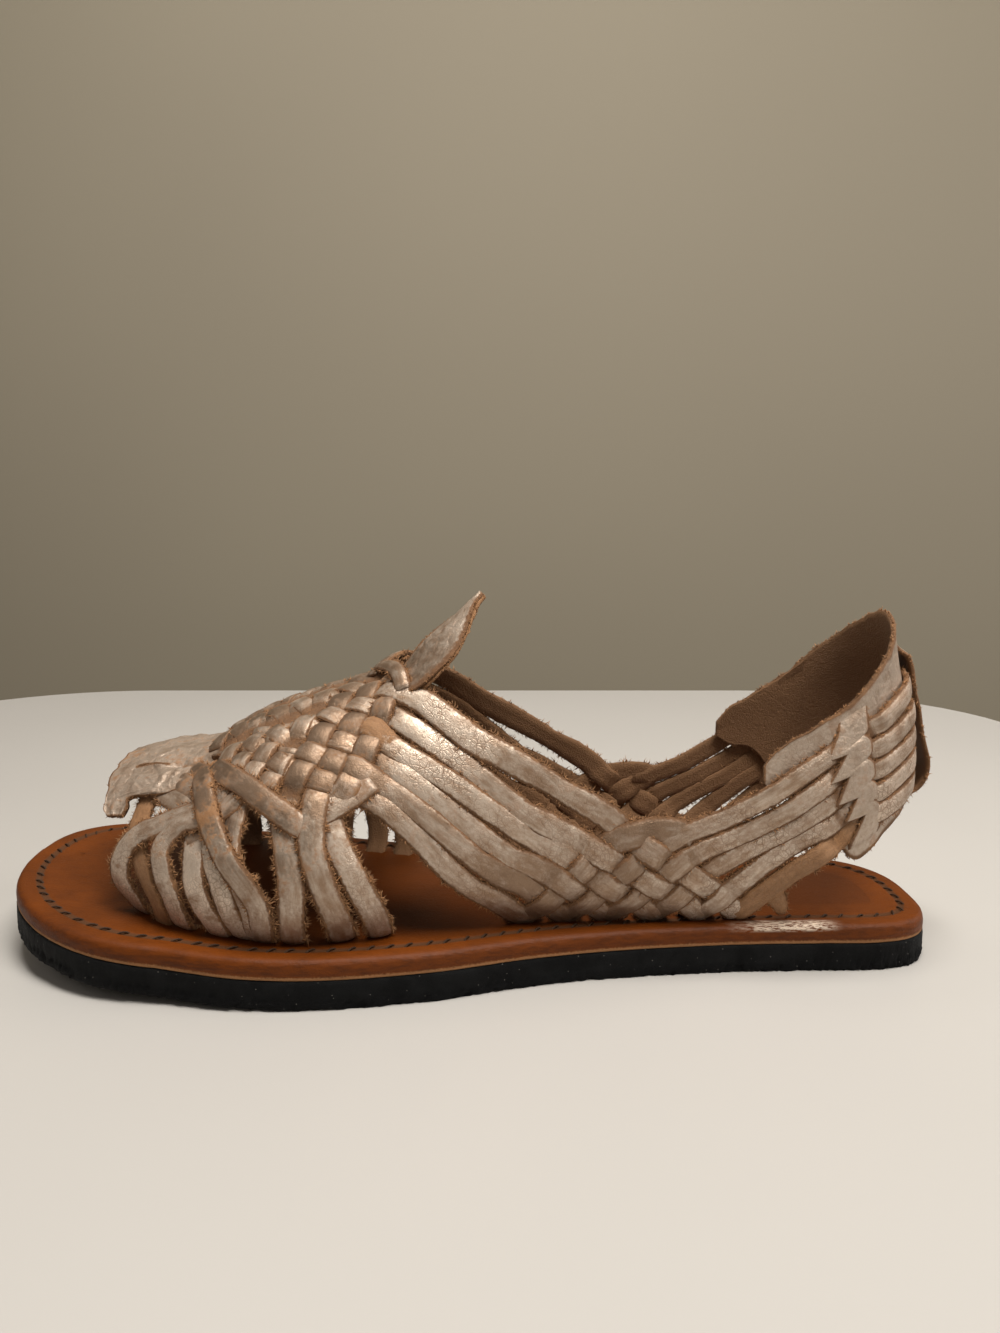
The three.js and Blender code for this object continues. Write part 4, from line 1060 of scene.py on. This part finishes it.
def layered(rings, columns):
    """Closed solid through rings round the sole; its bottom and top are grids from side to side."""
    n = len(rings[0])
    k = np.arange(n)
    after = (k + 1) % n
    quads = [np.stack([r * n + k, r * n + after, (r + 1) * n + after, (r + 1) * n + k], -1)
             for r in range(len(rings) - 1)]
    points = [np.concatenate(rings)]
    tris = []
    count = n * len(rings)
    half = n // 2
    for ring, base, top in ((rings[0], 0, False), (rings[-1], n * (len(rings) - 1), True)):
        index = np.zeros((half + 1, columns + 1), int)
        inner = []
        for row in range(half + 1):
            a, b = row, (n - row) % n
            index[row, 0], index[row, -1] = base + a, base + b
            if row in (0, half):
                index[row, :] = base + a
                continue
            for c in range(1, columns):
                index[row, c] = count
                count += 1
                t = c / columns
                inner.append(ring[a] * (1 - t) + ring[b] * t)
        points.append(np.array(inner))
        for row in range(half):
            for c in range(columns):
                face = [index[row, c], index[row + 1, c], index[row + 1, c + 1], index[row, c + 1]]
                if not top:
                    face.reverse()
                if row in (0, half - 1):
                    only = list(dict.fromkeys(face))
                    if len(only) == 3:
                        tris.append(only)
                    continue
                quads.append(np.array([face]))
    return np.concatenate(points), np.concatenate(quads), np.array(tris, int)


class SANDAL_OT_insole(Operator):
    """Cuts the leather insole with its round burnished edge and stitch groove"""
    bl_idname = "sandal.insole"
    bl_label = "Insole"

    def execute(self, context):
        """Makes the piece."""
        rng = np.random.default_rng(8)
        ring, inward = sole_outline(380)
        n = len(ring)
        z0 = OUTSOLE_THICK + LAYER_GAP - 0.25
        top = FLOOR_Z
        rows = [(z0, 2.0, 1, 1.1), (z0, 0.55, 1, 1.1), (z0 + 0.35, 0.35, 1, 1.0), (z0 + 0.9, 0.42, 1, 0.85),
                (z0 + 1.6, 0.34, 1, 0.7), (z0 + 2.6, 0.32, 1, 0.5), (z0 + 3.5, 0.45, 1, 0.35),
                (top - 1.0, 0.75, 0.9, 0.2), (top - 0.45, 1.25, 0.5, 0.1), (top - 0.12, 1.95, 0.1, 0),
                (top, 2.9, 0, 0), (top, 4.4, 0, 0),
                (top - 0.02, 5.3, 0, 0), (top - 0.3, 5.9, 0, 0), (top - 0.36, 6.3, 0, 0),
                (top - 0.3, 6.7, 0, 0),
                (top - 0.02, 7.3, 0, 0), (top, 8.6, 0, 0), (top - 0.03, 11.0, 0, 0), (top - 0.05, 14.0, 0, 0)]
        wave = wander(rng, n, 20)
        rings, walls, insets, lows = [], [], [], []
        for z, inset, wall, low in rows:
            shift = inset + (0.12 * wave + 0.05 * wander(rng, n, 4) if wall else 0)
            at = ring + inward * (np.maximum(shift, 0.05) * np.ones(n))[:, None]
            ripple = 0.05 * wave if wall == 0 else 0
            rings.append(np.column_stack([at, z + ripple + lift(at[:, 0])]))
            walls.append(np.full(n, wall, float))
            insets.append(np.full(n, inset, float))
            lows.append(np.full(n, low, float))
        points, quads, tris = layered(rings, 12)
        rest = len(points) - n * len(rows)
        marks = {name: np.concatenate(values + [np.full(rest, middle)]) for name, values, middle in (
            ("wall", walls, 0.0), ("inset", insets, 20.0), ("low", lows, 0.0))}
        made = mesh_object("leather_insole", points, quads, tris, materials()["insole"], marks)
        finished(made, "insole_leather", "insole")
        return {"FINISHED"}


class SANDAL_OT_stitches(Operator):
    """Sews the thread that runs round the insole"""
    bl_idname = "sandal.stitches"
    bl_label = "Stitches"

    def execute(self, context):
        """Makes the piece."""
        sizes = context.scene.sandal_sizes
        rng = np.random.default_rng(21)
        spots, aims = [], []
        for inset, start, stop, sides in ((sizes.stitch_inset / MM, 0.0, 1.0, None), (9.4, 43.0, 78.0, -1)):
            ring, inward = sole_outline(400)
            line = ring + inward * inset
            line = np.vstack([line, line[:1]])
            chord = np.r_[0, np.cumsum(np.linalg.norm(np.diff(line, axis=0), axis=1))]
            count = int(chord[-1] / (sizes.stitch_pitch / MM))
            at = (np.arange(count) + rng.uniform(-0.08, 0.08, count)) * chord[-1] / count
            x, y = np.interp(at, chord, line[:, 0]), np.interp(at, chord, line[:, 1])
            ahead = np.stack([np.interp(at + 1, chord, line[:, 0]) - x,
                              np.interp(at + 1, chord, line[:, 1]) - y], -1)
            z = FLOOR_Z - 0.2 + lift(x)
            slope = lift(x + ahead[:, 0]) - lift(x)
            points, aim = np.column_stack([x, y, z]), unit(np.column_stack([ahead, slope]))
            if sides:
                keep = (y < 0) & (x > start) & (x < stop)
                points, aim = points[keep], aim[keep]
            spots.append(points)
            aims.append(aim)
        materials()
        settings = {"Length": sizes.stitch_length, "Slant": 0.42, "Seed": 4, "Material": SHOP["thread"]}
        spots, aims = np.concatenate(spots), np.concatenate(aims)
        made = grown("sole_stitches", SHOP["stitch_tree"], spots, {"aim": aims}, settings)
        finished(made, "insole_leather")
        return {"FINISHED"}


class SANDAL_OT_straps(Operator):
    """Weaves the straps over the instep, down the side braid and round the heel"""
    bl_idname = "sandal.straps"
    bl_label = "Straps"

    def execute(self, context):
        """Makes the piece."""
        sizes = context.scene.sandal_sizes
        width, thick, heel = sizes.strip_width / MM, sizes.strip_thick / MM, sizes.heel_width / MM
        down, up = braid_paths()
        for side, turn in (("lateral", lambda rows: rows), ("medial", across_foot)):
            leather = Leather()
            seed = sizes.seed + (0 if side == "lateral" else 500)
            # Tone of each side strap, partly painted light: brighter on the upper straps where the highlight
            # falls, darker on the lower ones
            tone_and_painted_light = [0.4, 0.6, 0.3, 0.3, -0.4, -0.4]
            for k in range(6):
                leather.strip(turn(side_strap(k, down)), seed + k, width, thick, tone=tone_and_painted_light[k],
                              tan=((-24.5, -18.5),) if k == 2 else ())
                leather.strip(turn(return_strap(k, up)), seed + 20 + k, heel if k < 5 else width, thick,
                              tone=0.25 - 0.12 * k, tan=((60, 104),) if k == 0 else ())
            leather.strip(turn(by_height(HEEL_END)), seed + 40, heel, thick, tan=((60, 104),))
            leather.strip(turn(ROOT_COVER), seed + 41, 4.6, thick, crown=0.5, tone=-0.6)
            laid = leather.made(side + "_straps", materials()["straps"])
            finished(laid, "strap_leather", *(["upper"] if side == "lateral" else []))
            share = 1.0 if side == "lateral" else 0.55
            fuzz(side + "_strap_fibres", leather, seed + 7, sizes.fibre_density * share,
                 sizes.fibre_reach / MM, "strap_leather")
        return {"FINISHED"}


class SANDAL_OT_forefoot(Operator):
    """Lays the strips that go on from the weave over the toes and the ball of the foot"""
    bl_idname = "sandal.forefoot"
    bl_label = "Forefoot strips"

    def execute(self, context):
        """Makes the piece."""
        sizes = context.scene.sandal_sizes
        width, thick = sizes.strip_width / MM, sizes.strip_thick / MM
        for side, turn in (("lateral", lambda rows: rows), ("medial", across_foot)):
            leather = Leather()
            seed = sizes.seed + (900 if side == "lateral" else 1400)
            for k, (name, number, rows, tan) in enumerate(TOE_ROWS):
                whole = list(rows)
                if 1 <= number <= 3:
                    whole = weave_rows(number, *MEDIAL_RANGE[number], False) + whole
                elif number:
                    whole = weave_rows(number, 5.2, 7, False) + whole
                wide = 1.05 if name in ("f4", "f8", "f9", "f10") else 0.98
                leather.strip(turn(tucked(whole)), seed + k, width * wide, thick, crown=0.35, tan=tan)
            for k, rows in enumerate((BORDER_STRIP, HIGH_STRIP, LOW_BORDER, *UNDER_TAB)):
                leather.strip(turn(rows), seed + 30 + k, width, thick, crown=0.3)
            leather.strip(turn(TAN_STRIP), seed + 44, width * 0.9, thick, tan=((-200, 200),))
            laid = leather.made(side + "_forefoot", materials()["toes"])
            finished(laid, "strap_leather")
            share = 1.6 if side == "lateral" else 0.7
            fuzz(side + "_forefoot_fibres", leather, seed + 9, sizes.fibre_density * share,
                 sizes.fibre_reach / MM * 1.15, "strap_leather")
        return {"FINISHED"}


class SANDAL_OT_tongue(Operator):
    """Folds the pointed tongue behind the weave"""
    bl_idname = "sandal.tongue"
    bl_label = "Tongue"

    def execute(self, context):
        """Makes the piece."""
        leather = Leather()
        for k, (low, grow) in enumerate(((0.0, 1.0), (1.15, 0.965))):
            rows = [(-19, 0.80, -0.9 + low, 0.6 * grow), (-15, 0.785, -0.6 + low, 0.9 * grow),
                    (-11, 0.775, 0.4 + low, 1.04 * grow), (-7, 0.775, 1.6 + low, 1.05 * grow),
                    (-4, 0.785, 2.3 + low, 0.98 * grow), (-1, 0.815, 2.8 + low, 0.8 * grow),
                    (2, 0.853, 3.0 + low, 0.56 * grow), (5, 0.894, 3.1 + low, 0.32 * grow),
                    (8.2, 0.932, 3.0 + low, 0.07)]
            leather.strip(rows, 70 + k, 17, 1.05, crown=0.5, tone=-1.2, columns=15, step=0.7,
                          tan=() if k else ((-200, 200),))
        made = leather.made("folded_tongue", materials()["tongue"])
        finished(made, "tongue_leather", "tongue")
        fuzz("tongue_fibres", leather, 77, 5.0, 0.6, "tongue_leather")
        return {"FINISHED"}


TAB_FRONT = -98
TAB_EDGE = table((0.43, -88.6), (0.5, -88), (0.55, -87.3), (0.575, -78), (0.62, -71), (0.7, -66.5),
                 (0.8, -65), (1, -65))


class SANDAL_OT_toe_tab(Operator):
    """Lays the wrinkled tab over the toes, with a slit near each side"""
    bl_idname = "sandal.toe_tab"
    bl_label = "Toe tab"

    def execute(self, context):
        """Makes the piece."""
        rng = np.random.default_rng(31)
        na, nb = 46, 120
        a, b = np.meshgrid(np.linspace(0, 1, na + 1), np.linspace(0, 1, nb + 1), indexing="ij")
        g = 0.445 + 1.11 * b
        inner = np.minimum(g, 2 - g)
        round_front = 1.4 * np.clip((0.7 - inner) / 0.2, 0, 1)
        round_front = round_front + 1.6 * np.clip(1 - (inner - 0.445) / 0.06, 0, 1) ** 2
        front = TAB_FRONT + 1.6 + round_front + 0.35 * wander(rng, nb + 1, 5)[None]
        back = read(TAB_EDGE, inner, 1) + 0.4 * wander(rng, nb + 1, 4)[None]
        u = front + (back - front) * a
        knots = np.linspace(0, 1, 9)
        soft = hermite(knots, np.stack([wander(rng, nb + 1, 6) for _ in knots]), np.linspace(0, 1, na + 1))
        bent = hermite(knots, np.stack([wander(rng, nb + 1, 14) for _ in knots]), np.linspace(0, 1, na + 1))
        behind = np.clip((u + 91) / 7, 0, 1)
        folds = 1 - np.abs(np.sin(inner * 21 + 2.2 * bent + (u + 90) * 0.045))
        cross = 1 - np.abs(np.sin((u + 96) * 0.42 + 1.6 * bent + inner * 5))
        rumple = 0.25 * soft + 0.6 * folds ** 2 * behind + 0.2 * cross ** 2 * (0.5 + 0.5 * behind)
        off = 2.1 + rumple
        droop = np.clip((-92 - u) / 6, 0, 1)
        off = off - 0.5 * droop - 2.3 * np.clip((u + 80) / 11, 0, 1) ** 1.3
        off = off - 1.3 * np.exp(-((inner - 0.757) / 0.016) ** 2) * np.clip((u + 80) / 4, 0, 1)
        outer = off_foot(u, g, off + SHEET_THICK)
        under = off_foot(u, g, off)
        mid_u = (u[:-1, :-1] + u[1:, 1:]) / 2
        mid_g = (inner[:-1, :-1] + inner[1:, 1:]) / 2
        slit = (np.abs(mid_g - 0.757) < 0.0065) & (mid_u > -88.7) & (mid_u < -79.2)
        leather = Leather()
        side = np.maximum(np.abs(2 * a - 1) ** 8, np.abs(2 * b - 1) ** 30)
        leather.panel(outer, under, ~slit, tone=-0.25, across=side * 0.9)
        for line in (0, -1):
            leather.rim(outer.swapaxes(0, 1), under.swapaxes(0, 1), line)
            leather.rim(outer, under, line)
        made = leather.made("wrinkled_toe_tab", materials()["tab"])
        finished(made, "tab_leather", "toe_tab")
        fuzz("tab_fibres", leather, 33, 5.0, 0.6, "tab_leather")
        return {"FINISHED"}


# Edges of the heel sheet: u, height of the top and of the foot
HEEL_EDGES = table((78.5, 43.5, 39.5), (82, 48, 37), (90, 53, 35), (96, 57, 28), (101, 60, 20),
                   (106, 64.5, 20.5), (112, 69, 25), (122, 75, 28.5), (132, 79, 29.5), (143.13, 81.5, 29))
# Edges of the side column, from its top to its foot: u and height in front, u and height behind
COLUMN_ROWS = table((97.6, 57.6, 105.8, 63.6), (97.3, 55.4, 105.6, 61.0), (97.1, 52.6, 105.3, 57.9),
                    (94.0, 44.9, 105.7, 52.4),
                    (98.7, 46.8, 105.9, 51.8), (94.5, 39.0, 106.3, 46.6), (99.3, 41.2, 106.4, 46.0),
                    (96.5, 33.7, 107.2, 40.8), (101.5, 35.7, 107.4, 40.2), (98.7, 29.4, 108, 35.6),
                    (103.7, 31.1, 108.2, 35), (100.4, 23.6, 109.4, 29.2), (100.6, 21.5, 109.4, 25.4))
# Lift of the side column at each of its rows
COLUMN_LIFT = np.array([0.3, 0.75, 1.25, 1.75, 2.0, 2.2, 2.3, 2.3, 2.3, 2.3, 2.2, 1.7, 0.4])
# Heights where the rear edge of the column is drawn in between two straps
SCALLOPS = (52.1, 46.3, 40.5, 35.3)
# Strip down the back of the heel: height, lift and width share
BACK_ROWS = [(72.5, 0.2, 0.9), (70, 1.8, 0.95), (67.5, 3.9, 1), (58, 4.1, 1.02), (50, 4.6, 1.02),
             (43.5, 6.0, 1.05), (39, 7.2, 1.05), (35, 6.9, 1), (32, 5.2, 0.95),
             (30.3, 2.6, 0.85), (29.2, 0.3, 0.75)]


class SANDAL_OT_heel_piece(Operator):
    """Wraps the heel sheet round the heel, with its columns over the straps"""
    bl_idname = "sandal.heel_piece"
    bl_label = "Heel piece"

    def execute(self, context):
        """Makes the piece."""
        rng = np.random.default_rng(41)
        leather = Leather()
        na, nb = 220, 34
        a, b = np.meshgrid(np.linspace(0, 1, na + 1), np.linspace(0, 1, nb + 1), indexing="ij")
        medial = a > 0.5
        u = 78.5 + (BACK_U - 78.5) * (1 - np.abs(2 * a - 1))
        top = read(HEEL_EDGES, u, 1) + (0.25 * wander(rng, na + 1, 4))[:, None]
        low = read(HEEL_EDGES, u, 2) + (0.25 * wander(rng, na + 1, 5))[:, None]
        height = low + (top - low) * b
        girth = girth_at(u, height)
        girth = np.where(medial, 2 - girth, girth)
        soft = hermite(np.linspace(0, 1, 5), np.stack([wander(rng, na + 1, 16) for _ in range(5)]),
                       np.linspace(0, 1, nb + 1)).T
        flare = 0.9 * np.clip((b - 0.75) / 0.25, 0, 1) ** 2 * np.clip((u - 84) / 20, 0, 1)
        off = np.maximum(0.02, 0.12 + 0.12 * soft) + flare
        inner, outer = off_foot(u, girth, off), off_foot(u, girth, off + SHEET_THICK - 0.15)
        leather.panel(outer, inner, np.ones((na, nb), bool), tone=0.35, across=np.abs(2 * b - 1) ** 14)
        for line in (0, -1):
            leather.rim(outer, inner, line)
        for turn in (False, True):
            count, columns = 150, 13
            t = np.linspace(0, len(COLUMN_ROWS) - 1, count + 1)
            k = np.arange(len(COLUMN_ROWS), dtype=float)
            edges = np.stack([np.interp(t, k, COLUMN_ROWS[:, c]) for c in range(4)], -1)
            for gap in SCALLOPS:
                edges[:, 2] -= 1.5 * np.exp(-((edges[:, 3] - gap) / 0.9) ** 2)
            s = np.linspace(0, 1, columns + 1)
            uu = edges[:, None, 0] * (1 - s) + edges[:, None, 2] * s
            hh = edges[:, None, 1] * (1 - s) + edges[:, None, 3] * s
            bulge = 0.5 * (1 - (2 * s - 1) ** 2) - 0.35 * np.abs(2 * s - 1) ** 6
            rise = hermite(k, COLUMN_LIFT, t)[:, None]
            rise = rise + bulge * np.clip(rise / 3, 0, 1)
            gg = girth_at(uu, hh)
            gg = 2 - gg if turn else gg
            top_side, under = off_foot(uu, gg, rise + 0.9), off_foot(uu, gg, np.maximum(rise - 0.35, 0.4))
            if turn:
                top_side, under = top_side[:, ::-1], under[:, ::-1]
            leather.panel(top_side, under, np.ones((count, columns), bool), tone=0.3,
                          across=np.broadcast_to(np.abs(2 * s - 1) ** 5, (count + 1, columns + 1)))
            for line in (0, -1):
                leather.rim(top_side, under, line)
        back = by_height([(BACK_U, *row) for row in BACK_ROWS])
        leather.strip(back, 46, 11.5, 1.3, crown=0.5, tone=0.1, columns=13, step=0.9)
        made = leather.made("heel_wrap", materials()["heel"])
        finished(made, "heel_leather", "heel_counter")
        fuzz("heel_fibres", leather, 47, 7.0, 0.75, "heel_leather")
        return {"FINISHED"}


class SANDAL_OT_stage(Operator):
    """Sets the pale table, the wall behind, the soft lights and the camera"""
    bl_idname = "sandal.stage"
    bl_label = "Stage"

    def execute(self, context):
        """Makes the stage."""
        scene = context.scene
        corner = 0.13
        x0, x1, y0, y1 = -0.36, 0.31, -1.2, 0.412
        turn = np.linspace(0, np.pi / 2, 13)
        rim = [(x1 - corner + corner * math.cos(t), y1 - corner + corner * math.sin(t)) for t in turn]
        rim += [(x0 + corner - corner * math.sin(t), y1 - corner + corner * math.cos(t)) for t in turn]
        rim += [(x0, y0), (x1, y0)]
        rim = np.array(rim) / MM
        n = len(rim)
        points = np.concatenate([np.column_stack([rim, np.full(n, z)]) for z in (0.0, -22.0)])
        middle = np.array([[0, 0, 0.0], [0, 0, -22.0]])
        points = np.concatenate([points, middle])
        k = np.arange(n)
        after = (k + 1) % n
        quads = np.stack([k + n, after + n, after, k], -1)
        tris = np.concatenate([np.stack([np.full(n, 2 * n), k, after], -1),
                               np.stack([np.full(n, 2 * n + 1), after + n, k + n], -1)])
        floor = mesh_object("table_top", points, quads, tris, stage_material(
            "table_paint", colour(181, 178, 174), colour(177, 174, 170), 0.42, 3.0), {})
        floor.data.polygons.foreach_set("use_smooth", np.zeros(len(floor.data.polygons), bool))
        wide = table((-3000, 760, -1500), (3000, 760, -1500), (3000, 760, 2500), (-3000, 760, 2500))
        wall = mesh_object("back_wall", wide, np.array([[0, 1, 2, 3]]), np.zeros((0, 3), int), stage_material(
            "wall_paint", colour(142, 134, 117), colour(136, 128, 112), 0.8, 1.2), {})
        for name, spot, aim, size, power, tint in (
                ("key_light", (-0.02, -0.12, 1.15), (0.0, 0.0, 0.03), 0.4, 9.0, (1.0, 0.96, 0.9)),
                ("side_key", (0.40, -0.42, 1.05), (0.0, 0.0, 0.03), 0.45, 11.5, (1.0, 0.96, 0.9)),
                ("left_light", (-1.1, -0.1, 0.75), (0.0, 0.0, 0.05), 0.8, 1.5, (1.0, 0.94, 0.87)),
                ("right_light", (1.1, 0.1, 0.5), (0.1, 0.0, 0.05), 0.6, 4.5, (1.0, 0.95, 0.9)),
                ("front_fill", (0.5, -1.3, 0.5), (0.0, 0.0, 0.05), 1.0, 1.5, (1.0, 0.96, 0.92)),
                ("wall_light", (-0.05, 0.25, 0.9), (-0.05, 0.76, 0.32), 0.6, 1.0, (1.0, 0.95, 0.88))):
            lamp = bpy.data.lights.new(name, "AREA")
            lamp.shape = "DISK"
            lamp.size = size
            lamp.energy = power
            lamp.color = tint
            holder = bpy.data.objects.new(name, lamp)
            holder.location = spot
            way = np.array(aim) - np.array(spot)
            flat = math.hypot(way[0], way[1])
            holder.rotation_euler = (math.pi / 2 + math.atan2(way[2], flat), 0, math.atan2(-way[0], way[1]))
            scene.collection.objects.link(holder)
        world = bpy.data.worlds.new("room")
        world.use_nodes = True
        world.node_tree.nodes["Background"].inputs[0].default_value = colour(196, 184, 168)
        world.node_tree.nodes["Background"].inputs[1].default_value = 0.22
        scene.world = world
        scene.view_settings.view_transform = "Standard"
        camera = bpy.data.cameras.new("camera")
        camera.sensor_width = 36
        camera.lens = 27.0
        camera.clip_start = 0.01
        camera.clip_end = 20
        holder = bpy.data.objects.new("camera", camera)
        holder.location = (0.01035, -0.2808, 0.1206)
        holder.rotation_euler = (math.radians(81.5), 0, 0)
        scene.collection.objects.link(holder)
        scene.camera = holder
        return {"FINISHED"}


PIECES = (SANDAL_OT_outsole, SANDAL_OT_insole, SANDAL_OT_stitches, SANDAL_OT_straps, SANDAL_OT_forefoot,
          SANDAL_OT_tongue, SANDAL_OT_toe_tab, SANDAL_OT_heel_piece, SANDAL_OT_stage)


class SANDAL_PT_panel(Panel):
    """Sizes of the sandal and the steps that make it"""
    bl_idname = "SANDAL_PT_panel"
    bl_label = "Woven sandal"
    bl_space_type = "VIEW_3D"
    bl_region_type = "UI"
    bl_category = "Sandal"

    def draw(self, context):
        """Lists the settings and the steps."""
        for key in SANDAL_PG_sizes.__annotations__:
            self.layout.prop(context.scene.sandal_sizes, key)
        for piece in PIECES:
            self.layout.operator(piece.bl_idname)


def register():
    """Adds the classes and the settings."""
    for kind in (SANDAL_PG_sizes, *PIECES, SANDAL_PT_panel):
        bpy.utils.register_class(kind)
    bpy.types.Scene.sandal_sizes = PointerProperty(type=SANDAL_PG_sizes)


def unregister():
    """Takes the classes and the settings away."""
    del bpy.types.Scene.sandal_sizes
    for kind in (SANDAL_PT_panel, *reversed(PIECES), SANDAL_PG_sizes):
        bpy.utils.unregister_class(kind)


def main():
    """Makes every piece in turn."""
    register()
    materials()
    SHOP["fibre_tree"], SHOP["stitch_tree"] = fibre_tree(), stitch_tree()
    for piece in PIECES:
        group, name = piece.bl_idname.split(".")
        getattr(getattr(bpy.ops, group), name)()


if __name__ == "__main__":
    main()
